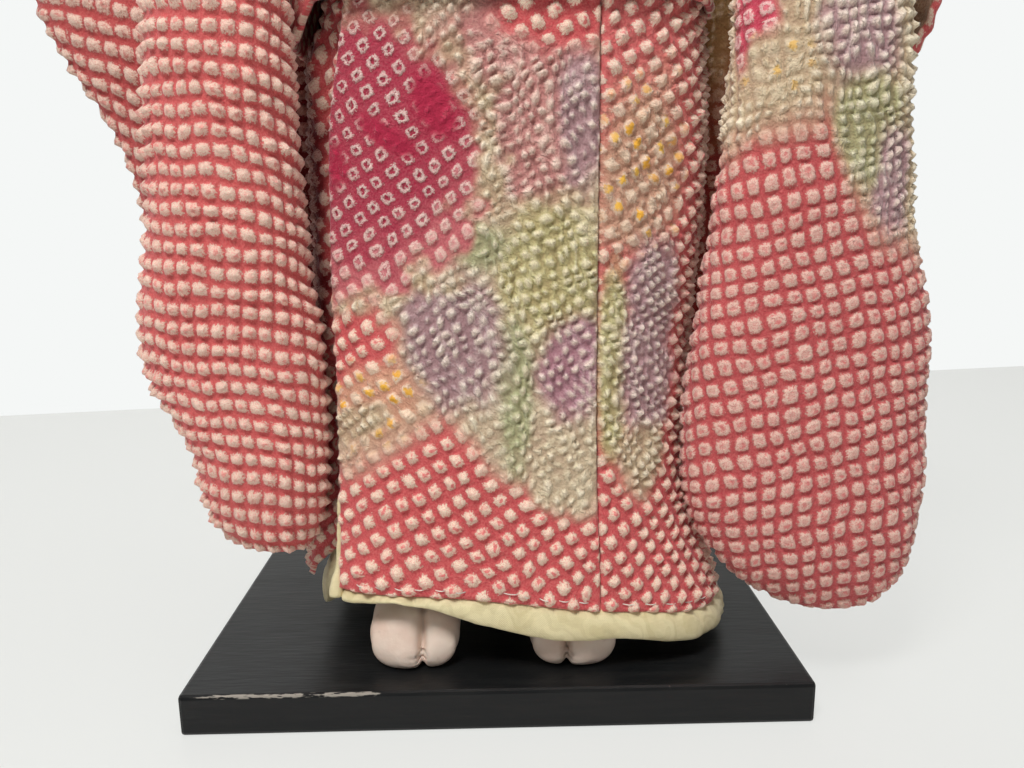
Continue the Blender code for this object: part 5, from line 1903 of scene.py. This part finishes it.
@dataclass
class Bodice:
    """Upper part of the kimono from the waist to the neck seam."""

    low: float = 0.2151
    high: float = 0.3098

    def build(self, crepe: Material) -> Item:
        """Build the bodice as a closed ring of cloth.

        The outer wall follows the form with the crepe's relief and the inner
        wall lies one thickness inside; both share their rims.
        """
        columns = 360
        front = slice(columns // 2, columns // 2 + 1)
        turn = math.radians(-90.0) + full_turn(columns)
        heights = np.linspace(self.low, self.high, 80)[:, None]
        base = FORM.point(heights, turn, 0.0006)
        run = travel(base, 1)
        s = base[:, front, 0] - (run - run[:, front])
        h = np.broadcast_to(heights, s.shape)
        relief, paint = crepe_paint(UPPER_DYE, Lattice(0.0056, 0.0056, 31.0, seed=12), s, h)
        ends = smooth(np.minimum(heights - self.low, self.high - heights) / 0.003)
        lift = relief * 0.0011 * ends * seam_fade(columns)
        outer = base + outward(base, closed=True) * lift[..., None]
        inner = FORM.point(heights[::-8], turn, 0.0026)
        grid = np.concatenate([outer, inner])
        layers = {key: np.concatenate([value, value[::-8]]) for key, value in paint.items()}
        skin = Skin()
        skin.quads(wrapped(wrapped(skin.add(grid, **layers)), 0))
        item = finish_piece(skin.to_object("bodice_cloth", crepe), "crepe", "bodice")
        return item


def band(
    name: str,
    section: Section,
    rows: int,
    material: Material,
    slot: str,
    node: str,
    columns: int = 300,
    crepe: Lattice | None = None,
) -> Item:
    """Closed band round the body.

    Args:
        name: Name of the piece.
        section: Gives inset and height at a share round the section and a turn.
        rows: Points round the section.
        material: Finish of the band.
        slot: Material slot of the record; not used.
        node: CAD node that the band stands for.
        columns: Points round the body.
        crepe: Lattice of dots, where the band is crepe.

    Returns:
        The new object.
    """
    turn = math.radians(-90.0) + full_turn(columns)
    share = (np.arange(rows) / rows)[:, None]
    inset, height = section(share, turn[None, :])
    inset, height, turns = np.broadcast_arrays(inset, height, turn[None, :])
    grid = FORM.point(height, turns, inset)
    layers: dict[str, Grid] = {}
    if crepe is not None:
        run = travel(grid[:1], 1)
        middle = columns // 2
        s = np.broadcast_to(-(run - run[:, middle:middle + 1]), inset.shape)
        relief, layers = crepe_paint(UPPER_DYE, crepe, s, height)
        outer = smooth((-0.0006 - inset) / 0.0008)
        grid = FORM.point(height, turns, inset - relief * 0.0010 * seam_fade(columns) * outer)
    skin = Skin()
    skin.quads(wrapped(wrapped(skin.add(grid, **layers)), 0))
    return finish_piece(skin.to_object(name, material), slot, node)


@dataclass
class WaistBands:
    """Hip fold, obi, obi cord, obi scarf and bow."""

    waist: float = WAIST
    gap: float = 0.0003
    layer: float = 0.0005

    def build(self, finishes: dict[str, Material]) -> None:
        """Build the bands; each section is a rounded box or oval of inset and height."""
        crepe = Lattice(0.0056, 0.0056, 31.0, seed=14)

        def box_section(low: float, high: float, near: float, far: float) -> Section:
            """Rounded box: signed powers of cosine and sine between its sides."""
            def section(share: Grid, turn: Grid) -> tuple[Grid, Grid]:
                angle = share * math.tau
                inset = -(near + far) / 2 - (far - near) / 2 * signed_power(np.cos(angle), 0.5)
                height = (low + high) / 2 + (high - low) / 2 * signed_power(np.sin(angle), 0.35)
                return inset, height

            return section

        top = self.waist - self.gap

        def fold_section(share: Grid, turn: Grid) -> tuple[Grid, Grid]:
            """Hip fold: a box whose lower side hangs lower on the left."""
            around = np.degrees(turn) % 360.0
            from_front, from_back = (around - 140.0) / 12.0, (210.0 - around) / 15.0
            hang = np.clip(from_front, 0.0, 1.0) * np.clip(from_back, 0.0, 1.0)
            low = 0.196 - 0.009 * hang
            angle = share * math.tau
            inset = -self.layer - 0.0013 - 0.0013 * signed_power(np.cos(angle), 0.5)
            height = (low + top) / 2 + (top - low) / 2 * signed_power(np.sin(angle), 0.5)
            return inset, height

        fold = band(
            "hip_fold_cloth", fold_section, 56, finishes["crepe"], "crepe", "hip_fold", 420, crepe
        )
        low = self.waist + self.gap
        high = low + OBI_HEIGHT
        far = self.layer + 0.0040
        obi_section = box_section(low, high, self.layer, far)
        obi = band("obi_woven", obi_section, 48, finishes["brocade"], "obi_brocade", "obi")
        middle = (low + high) / 2

        def braid_section(share: Grid, turn: Grid) -> tuple[Grid, Grid]:
            """Oval cord with a slanting braid ripple."""
            angle = share * math.tau
            ripple = 0.0002 * np.sin(turn * 90.0 + 2.0 * angle)
            inset = -(far + 0.0005 + 0.00125) - (0.00115 + ripple) * np.cos(angle)
            return inset, middle + (0.0029 + ripple) * np.sin(angle)

        cord = band(
            "obi_cord_braid", braid_section, 20, finishes["cord"], "obi_cord_silk", "obi_cord", 720
        )
        scarf_low = high + self.gap

        def scarf_section(share: Grid, turn: Grid) -> tuple[Grid, Grid]:
            """Soft oval roll with gathers round the body."""
            angle = share * math.tau
            gather = 0.00030 * np.sin(turn * 38.0 + 1.3 * np.sin(turn * 5.0))
            gather = gather + 0.00012 * np.sin(turn * 91.0)
            inset = -(self.layer + 0.0018) - (0.0016 + gather) * np.cos(angle)
            return inset, scarf_low + 0.0040 + (0.0038 + gather) * np.sin(angle)

        scarf = band(
            "obi_scarf_silk", scarf_section, 28, finishes["scarf"], "obi_scarf_silk", "obi_scarf", 640
        )
        self.bow(finishes["brocade"], middle, far + 0.0030)

    def bow(self, brocade: Material, middle: float, far: float) -> None:
        """Build the drum-shaped bow.

        A closed roll: a superellipse of depth and height carried across the back,
        swelling in the middle and drawn in where the cord crosses.
        """
        back = FORM.point(np.array(middle), np.array(1.5 * math.pi), -far)[1]
        width, height, depth = 0.0305, 0.0285, 0.0088
        across = np.sin(np.linspace(-1.0, 1.0, 96) * math.pi / 2)[:, None]
        angle = full_turn(160)[None, :]
        close = np.sqrt(np.clip(1.0 - np.abs(across) ** 16, 0.0, 1.0))
        flap = 1.0 - 0.10 * np.exp(-((np.sin(angle) / 0.10) ** 2)) * (np.cos(angle) > 0)
        y = back + 0.0004 + depth + depth * 0.98 * close * signed_power(np.cos(angle), 0.8) * flap
        h = middle + height * close * signed_power(np.sin(angle), 0.62) * (1.0 - 0.04 * (1 - across**2))
        x = MIDDLE_X + width * across
        grid = np.stack(np.broadcast_arrays(x, y, h + BOARD_TOP), axis=-1)
        folds = 0.0004 * noise(grid, (0.016, 0.05, 0.012), 41)
        grid = grid + outward(grid, closed=True) * (folds * close)[..., None]
        skin = Skin()
        loft(skin, grid)
        item = finish_piece(skin.to_object("obi_bow_knot", brocade), "obi_brocade", "obi_bow")


@dataclass
class Collar:
    """Folded collar band round the neck, between two shifts from its neck-side edge."""

    name: str
    low_shift: float
    high_shift: float
    slot: str
    dotted: bool
    flat: Pair = (0.30, 0.012)
    area: float = 0.0036

    def build(self, material: Material) -> Item:
        """Build the collar as a closed sheet; the neck-side edge rises over the shoulder."""
        step = 4
        share = np.linspace(0.0, 1.0, step * 100 + 1)
        turn = math.radians(97.0) + share * math.radians(346.0)
        rise = smooth(np.minimum(share, 1.0 - share) / 0.11)
        start = WAIST + OBI_HEIGHT + SCARF_HEIGHT + 0.0125
        edge = start + (0.303 - start) * rise
        rows = np.linspace(0.0, 1.0, step * 6 + 1)[:, None]
        level = edge + self.low_shift + (self.high_shift - self.low_shift) * rows
        level = np.minimum(level, 0.310)
        crown = 0.0007 * np.sin(rows * math.pi)
        turns = np.broadcast_to(turn, level.shape)
        outer = FORM.point(level, turns, -0.0009 - 0.0013 - crown)
        inner = FORM.point(level, turns, -0.0009)
        paint: dict[str, Grid] = {}
        if self.dotted:
            s = np.broadcast_to(-travel(outer[0]), level.shape)
            lattice = Lattice(0.0052, 0.0052, 31.0, seed=15)
            relief, paint = crepe_paint(LEFT_SLEEVE_DYE, lattice, s, level)
            edge_fade = smooth(np.minimum(rows, 1 - rows) / 0.12)
            end_fade = smooth(np.minimum(share, 1 - share) / 0.01)
            outer = outer + outward(outer) * (relief * 0.0008 * (edge_fade * end_fade))[..., None]
        skin = Skin()
        closed_sheet(skin, outer, inner, step, **paint)
        item = finish_piece(skin.to_object(self.name + "_cloth", material), self.slot, self.name)
        return item


HEAD_FORM = Curve(
    (
        (303.0, 9.5, -14.0, 5.0),
        (316.0, 9.5, -14.5, 5.0),
        (322.0, 12.0, -22.0, 8.0),
        (326.0, 17.0, -31.0, 12.0),
        (334.0, 25.0, -36.0, 18.0),
        (345.0, 30.5, -37.0, 26.0),
        (358.0, 33.0, -36.5, 31.0),
        (372.0, 32.5, -35.0, 32.0),
        (383.0, 27.0, -29.0, 28.0),
        (390.0, 18.0, -20.0, 20.0),
        (394.0, 8.0, -9.0, 10.0),
    )
)


def head_ring(height: Grid, angle: Grid) -> Grid:
    """Horizontal ellipse of the head at each height, in the row frame."""
    half_width, front, back = np.moveaxis(HEAD_FORM.at(height), -1, 0)
    x = MIDDLE_X + half_width * np.cos(angle)
    y = (front + back) / 2 + (back - front) / 2 * np.sin(angle)
    height = np.broadcast_to(height, x.shape)
    return np.stack([x, y, height + BOARD_TOP], axis=-1)


@dataclass
class Head:
    """Calm doll's head of a general kind, with painted brows and lips, eyes and wig."""

    x: float = MIDDLE_X
    eye_height: float = 0.351
    eye_apart: float = 0.0115

    def build(self, gofun: Material, hair: Material) -> None:
        """Build the face, the wig and the eyes' finish."""
        self.face(gofun)
        self.wig(hair)
        for name, side in (("left_eye", -1), ("right_eye", 1)):
            centre = (self.x + side * self.eye_apart, 0.0, self.eye_height + BOARD_TOP)
            dress_node(name, EyeFinish(name + "_glass", centre).material())

    def face(self, gofun: Material) -> None:
        """Build the head's surface and its paint.

        Rings of ellipses carry Gaussian forms for nose, lips, cheeks and chin. The
        eye openings are squashed circles with a lid line and a brow above them.
        """
        zones = ((0.3035, 0.326, 26), (0.3268, 0.372, 88), (0.3730, 0.3936, 22))
        heights = np.concatenate([np.linspace(*zone) for zone in zones])[:, None]
        around = np.linspace(0.0, math.tau, 220, endpoint=False)
        angle = (around + 0.42 * np.sin(2.0 * (around + math.pi / 2)) * 0.5)[None, :]
        grid = head_ring(heights, angle)
        normal = outward(grid, closed=True)
        x = grid[..., 0] - self.x
        h = grid[..., 2] - BOARD_TOP
        front = grid[..., 1] < -0.005

        def bump(cx: float, ch: float, wide: float, high: float) -> Grid:
            """Gaussian of x and height on the front of the head."""
            return np.exp(-(((x - cx) / wide) ** 2) - (((h - ch) / high) ** 2)) * front

        lift = sum(
            size * bump(*place)
            for size, place in (
                (0.0030, (0.0, 0.3435, 0.0026, 0.0022)),
                (0.0014, (0.0, 0.349, 0.0020, 0.0055)),
                (0.0008, (0.0028, 0.3425, 0.0012, 0.0012)),
                (0.0008, (-0.0028, 0.3425, 0.0012, 0.0012)),
                (0.0014, (0.0, 0.3375, 0.0042, 0.0011)),
                (0.0013, (0.0, 0.3350, 0.0034, 0.0011)),
                (-0.0007, (0.0, 0.3363, 0.0050, 0.0004)),
                (0.0010, (0.014, 0.338, 0.008, 0.007)),
                (0.0010, (-0.014, 0.338, 0.008, 0.007)),
                (0.0010, (0.0, 0.3285, 0.006, 0.003)),
            )
        )
        paint = np.zeros((*x.shape, 4))

        def stain(mask: Grid, colour: Triple) -> None:
            """Lay a colour over the paint."""
            shade = np.clip(mask, 0.0, 1.0)[..., None]
            paint[..., :3] = paint[..., :3] * (1 - shade) + np.array(colour) * shade
            paint[..., 3:] = np.maximum(paint[..., 3:], shade)

        for side in (-1, 1):
            from_middle = x - side * self.eye_apart
            dx = from_middle / 0.0050
            dh = (h - self.eye_height) / (0.0019 * np.sqrt(np.clip(1.0 - 0.5 * dx**2, 0.1, 1.0)))
            far = np.hypot(dx, dh)
            lift = lift - 0.0030 * smooth((1.05 - far) / 0.25) * front
            lid = np.exp(-(((far - 1.25) / 0.25) ** 2)) * front * (h > self.eye_height - 0.0005)
            lift = lift + 0.0006 * lid
            brow_line = 0.3590 + 0.0012 * np.cos(from_middle / 0.0065)
            brow = np.exp(-(((h - brow_line) / 0.0007) ** 2)) * front
            brow = brow * smooth((0.0062 - np.abs(from_middle)) / 0.002)
            lash = np.exp(-(((far - 1.08) / 0.10) ** 2)) * (h > self.eye_height) * front
            stain(0.30 * bump(side * 0.0155, 0.3405, 0.007, 0.006), srgb(226, 150, 140))
            stain(brow * 0.75, srgb(70, 56, 50))
            stain(lash, srgb(30, 24, 22))
        mouth_height = 0.0021 * np.sqrt(np.clip(1 - (x / 0.0052) ** 2, 0.05, 1))
        from_mouth = np.hypot(x / 0.0046, (h - 0.3363) / mouth_height)
        stain(smooth((1.0 - from_mouth) / 0.25) * front, srgb(176, 52, 48))
        skin = Skin()
        loft(skin, grid + normal * lift[..., None], ground=paint)
        finish_piece(skin.to_object("head_moulded", gofun), "gofun", "head")

    def wig(self, hair: Material) -> None:
        """Bobbed wig with a straight fringe.

        Outer and inner walls are the head's rings scaled from its middle, then
        straight down to the rim; ridges of a sum of sines follow the strands.
        """
        columns, fall_rows = 600, 30
        angle = full_turn(columns)
        middle = np.array([self.x, -0.0025, 0.358 + BOARD_TOP])
        from_front = np.abs((angle - 1.5 * math.pi + math.pi) % math.tau - math.pi)
        side_share = smooth((from_front - math.radians(50.0)) / math.radians(4.0))
        place = np.stack([np.cos(angle), np.sin(angle)], axis=-1)
        rim = 0.364 + (0.3222 - 0.364) * side_share + 0.0005 * noise(place, 0.03, 91)
        rim = rim + BOARD_TOP
        dome = 0.372 + (0.3938 - 0.372) * np.sin(np.linspace(1.0, 0.0, 30) * math.pi / 2)
        walls = []
        for scale in (1.15, 1.025):
            rings = middle + (head_ring(dome[:, None], angle[None, :]) - middle) * scale
            widest = middle + (head_ring(np.array([[0.358]]), angle[None, :]) - middle) * scale
            share = np.linspace(0.02, 1.0, fall_rows)[:, None]
            straight = np.broadcast_to(widest, (fall_rows, columns, 3)).copy()
            top = rings[-1, :, 2]
            straight[..., 2] = top + (rim - top) * share
            ease = smooth(share * 3.0)[..., None]
            straight[..., :2] = rings[-1:, :, :2] * (1 - ease) + widest[..., :2] * ease
            tuck = 0.0022 * smooth((share - 0.75) / 0.25)[..., None]
            toward = widest[..., :2] - middle[:2]
            straight[..., :2] -= tuck * toward / np.linalg.norm(toward, axis=-1, keepdims=True)
            walls.append(np.concatenate([rings, straight]))
        outer, inner = walls
        strands = np.sin(angle * 96.0 + 2.0 * np.sin(angle * 7.0)) * 0.00016
        strands = strands + np.sin(angle * 211.0) * 0.00008
        fade = smooth(np.linspace(0.0, 1.0, len(outer)) / 0.2)[:, None]
        outer = outer + outward(outer, closed=True) * (strands * fade)[..., None]
        grid = np.concatenate([outer, inner[::-1][::3]])
        run = np.linspace(0.0, 1.0, len(grid))[:, None]
        cells = np.stack(np.broadcast_arrays(angle[None, :] * 30.0, run * 60.0), axis=-1)
        skin = Skin()
        loft(skin, grid, cells=cells)
        finish_piece(skin.to_object("hair_wig", hair), "hair", "hair")


def dress_node(name: str, material: Material) -> None:
    """Give a CAD node that stays a new material."""
    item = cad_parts[name]
    for place in item.material_slots:
        place.material = material


@dataclass
class Studio:
    """Pale floor and wall, soft lamps and the camera."""

    camera_place: Triple = (0.0011, -0.2917, 0.1517)
    yaw: float = math.radians(-0.99)
    pitch: float = math.radians(11.73)
    roll: float = math.radians(-0.67)
    lens: float = 29.1

    def build(self) -> None:
        """Build the camera, the surroundings and the lamps."""
        self.camera()
        self.floor()
        self.lamps()

    def camera(self) -> None:
        """Camera from its yaw, pitch and roll."""
        level = math.cos(self.pitch)
        ahead = Vector((-math.sin(self.yaw) * level, math.cos(self.yaw) * level, -math.sin(self.pitch)))
        right = Vector((math.cos(self.yaw), math.sin(self.yaw), 0.0))
        over = right.cross(ahead)
        side = right * math.cos(self.roll) + over * math.sin(self.roll)
        up = over * math.cos(self.roll) - right * math.sin(self.roll)
        data = bpy.data.cameras.new("camera")
        data.lens = self.lens
        data.sensor_width = 36.0
        data.clip_start = 0.01
        item = bpy.data.objects.new("camera", data)
        turn = Matrix((side, up, -ahead)).transposed().to_4x4()
        item.matrix_world = Matrix.Translation(self.camera_place) @ turn
        bpy.context.scene.collection.objects.link(item)
        bpy.context.scene.camera = item

    def surround(
        self, name: str, points: Sequence[Sequence[float]], colour: Triple, rough: float, glow: float
    ) -> None:
        """One plain face of the surroundings, seen from its front alone.

        Args:
            name: Name of the face.
            points: Its four corners.
            colour: Colour of its surface and of its own light.
            rough: Roughness of its surface.
            glow: Share of its own light in what the camera sees.
        """
        mesh = bpy.data.meshes.new(name)
        mesh.from_pydata(points, [], [(0, 1, 2, 3)])
        material, desk, shader = shader_of(name)
        desk.wire(shader, Base_Color=colour, Roughness=rough)
        glowing = desk.node("ShaderNodeEmission")
        desk.wire(glowing, Color=colour)

        def blend(share: Socket, low: Socket, high: Socket) -> Socket:
            """Shader between two shaders."""
            made = desk.node("ShaderNodeMixShader")
            for socket, value in zip(made.inputs, (share, low, high)):
                desk.feed(socket, value)
            return made.outputs[0]

        camera_share = desk.times(desk.node("ShaderNodeLightPath").outputs["Is Camera Ray"], glow)
        lit = blend(camera_share, shader.outputs[0], glowing.outputs[0])
        behind = desk.node("ShaderNodeNewGeometry").outputs["Backfacing"]
        seen = blend(behind, lit, desk.node("ShaderNodeBsdfTransparent").outputs[0])
        output = next(node for node in material.node_tree.nodes if node.type == "OUTPUT_MATERIAL")
        desk.wire(output, Surface=seen)
        mesh.materials.append(material)
        item = bpy.data.objects.new(name, mesh)
        bpy.context.scene.collection.objects.link(item)

    def floor(self) -> None:
        """Floor at z = 0 and a wall that meets it behind the doll, turned a little."""
        wide = 4.0
        corners = [(-wide, -wide, 0), (wide, -wide, 0), (wide, wide, 0), (-wide, wide, 0)]
        self.surround("floor", corners, srgb(230, 231, 228), 0.30, 0.80)
        middle, slope = 0.407, 0.158
        start = Vector((-wide, middle - wide * slope, 0.0))
        stop = Vector((wide, middle + wide * slope, 0.0))
        up = Vector((0, 0, 3))
        corners = [start, stop, stop + up, start + up]
        self.surround("wall", corners, srgb(245, 247, 246), 0.9, 1.0)

    def lamp(self, name: str, place: Triple, target: Triple, size: float, power: float) -> None:
        """Square area lamp that points at a target."""
        data = bpy.data.lights.new(name, "AREA")
        data.energy = power
        data.size = size
        item = bpy.data.objects.new(name, data)
        item.location = place
        item.rotation_euler = (Vector(target) - Vector(place)).to_track_quat("-Z", "Y").to_euler()
        bpy.context.scene.collection.objects.link(item)

    def lamps(self) -> None:
        """World light and two soft lamps."""
        world = bpy.data.worlds.new("studio")
        bpy.context.scene.world = world
        world.use_nodes = True
        background = world.node_tree.nodes["Background"]
        Desk(world.node_tree).wire(background, Color=(1.0, 0.99, 0.96), Strength=0.20)
        self.lamp("key", (-0.22, -0.52, 0.86), (0.0, -0.03, 0.12), 0.24, 7.2)
        self.lamp("over", (0.14, -0.12, 1.00), (0.0, -0.02, 0.1), 0.6, 3.6)
        bpy.context.scene.view_settings.view_transform = "Standard"


RIGHT_FILL = (0.80, 0.80)
LEFT_FILL = (0.90, 0.70)


def build_sleeves(crepe_right: Material, crepe_left: Material, gofun: Material) -> None:
    """Build both sleeves with their folds, inner layers, cuffs and hands.

    Args:
        crepe_right: Finish of the right sleeve.
        crepe_left: Finish of the left sleeve.
        gofun: Finish of the hands.
    """
    right = Lattice(0.0054, 0.0056, 12.5, fill=RIGHT_FILL, seed=20)
    left = Lattice(0.0046, 0.0054, 0.0, slope=-8.5, fill=LEFT_FILL, seed=30)
    CrepeBag("right_sleeve", RIGHT_SLEEVE_ROWS, RIGHT_SLEEVE_DYE, right, 1).build(crepe_right)
    CrepeBag("left_sleeve", LEFT_SLEEVE_ROWS, LEFT_SLEEVE_DYE, left, -1).build(crepe_left)
    CrepeBag(
        "right_sleeve_fold", fold_rows(RIGHT_SLEEVE_ROWS, RIGHT_FOLD_ROWS), LEFT_SLEEVE_DYE,
        Lattice(0.0054, 0.0054, 12.5, fill=RIGHT_FILL, seed=21), 1, step=0.0011,
    ).build(crepe_right)
    CrepeBag(
        "left_sleeve_fold", fold_rows(LEFT_SLEEVE_ROWS, LEFT_FOLD_ROWS), LEFT_FOLD_DYE_AND_PAINTED_SHADE,
        Lattice(0.0046, 0.0054, 0.0, slope=-14.0, fill=LEFT_FILL, seed=31), -1, step=0.0010,
    ).build(crepe_left)
    inner_layer("right", RIGHT_LAYER_ROWS, RIGHT_LAYER_DYE_AND_PAINTED_SHADE, 1, crepe_right)
    inner_layer("left", LEFT_LAYER_ROWS, LEFT_LAYER_DYE_AND_PAINTED_SHADE, -1, crepe_left)
    ends = (("right", 0.1249, 0.2066, crepe_right), ("left", -0.1494, 0.2330, crepe_left))
    for side, x, height, crepe in ends:
        Cuff(side, x - math.copysign(CUFF_SHIFT, x), height).build(crepe)
        Hand(side, x, height).build(gofun)


def main() -> None:
    """Build the doll's looks in order."""
    logging.basicConfig(level=logging.INFO, format="%(name)s: %(message)s")
    crepe = CrepeFinish().material()
    crepe_right = CrepeFinish("right_sleeve_crepe", fill=RIGHT_FILL, eye=0.9).material()
    crepe_left = CrepeFinish("left_sleeve_crepe", fill=LEFT_FILL, eye=0.5).material()
    gofun = GofunFinish().material()
    face = GofunFinish("gofun_face", painted=True).material()

    def silk_of(name: str, colour: Triple, second: Triple, **more: float) -> Material:
        """Silk in two colours, given from 0 to 255."""
        return SilkFinish(name, srgb(*colour), srgb(*second), **more).material()

    silk = silk_of("cream_lining_silk", (228, 216, 174), (206, 192, 146), figure=0.35)
    thread = silk_of("white_thread", (240, 234, 224), (226, 218, 204), threads=20000.0)
    cotton = silk_of("stuffed_cotton", (214, 206, 190), (190, 180, 162), roughness=0.9, threads=5000.0)
    finishes = {
        "crepe": crepe,
        "brocade": BrocadeFinish().material(),
        "cord": silk_of("obi_cord_braid", (66, 120, 84), (44, 92, 62), roughness=0.6),
        "scarf": silk_of("obi_scarf_crepe", (214, 112, 74), (190, 86, 54), roughness=0.7, threads=6000.0),
    }
    dress_node("base_board", LacquerFinish().material())
    dress_node("support_post", SteelFinish().material())
    for side, inner_side in (("left", 1), ("right", -1)):
        Leg(side + "_leg", LEG_X[side], inner_side).build(gofun)
    Stuffing().build(cotton)
    Skirt().build(crepe, silk, thread)
    Bodice().build(crepe)
    WaistBands().build(finishes)
    Collar("kimono_collar", -0.011, -0.0005, "crepe", True).build(crepe)
    white = silk_of("white_collar_silk", (238, 234, 226), (222, 216, 204), roughness=0.6)
    Collar("under_collar", 0.0, 0.006, "collar_silk", False, (0.30, 0.010), 0.0021).build(white)
    build_sleeves(crepe_right, crepe_left, gofun)
    Head().build(face, HairFinish().material())
    Studio().build()


if __name__ == "__main__":
    main()
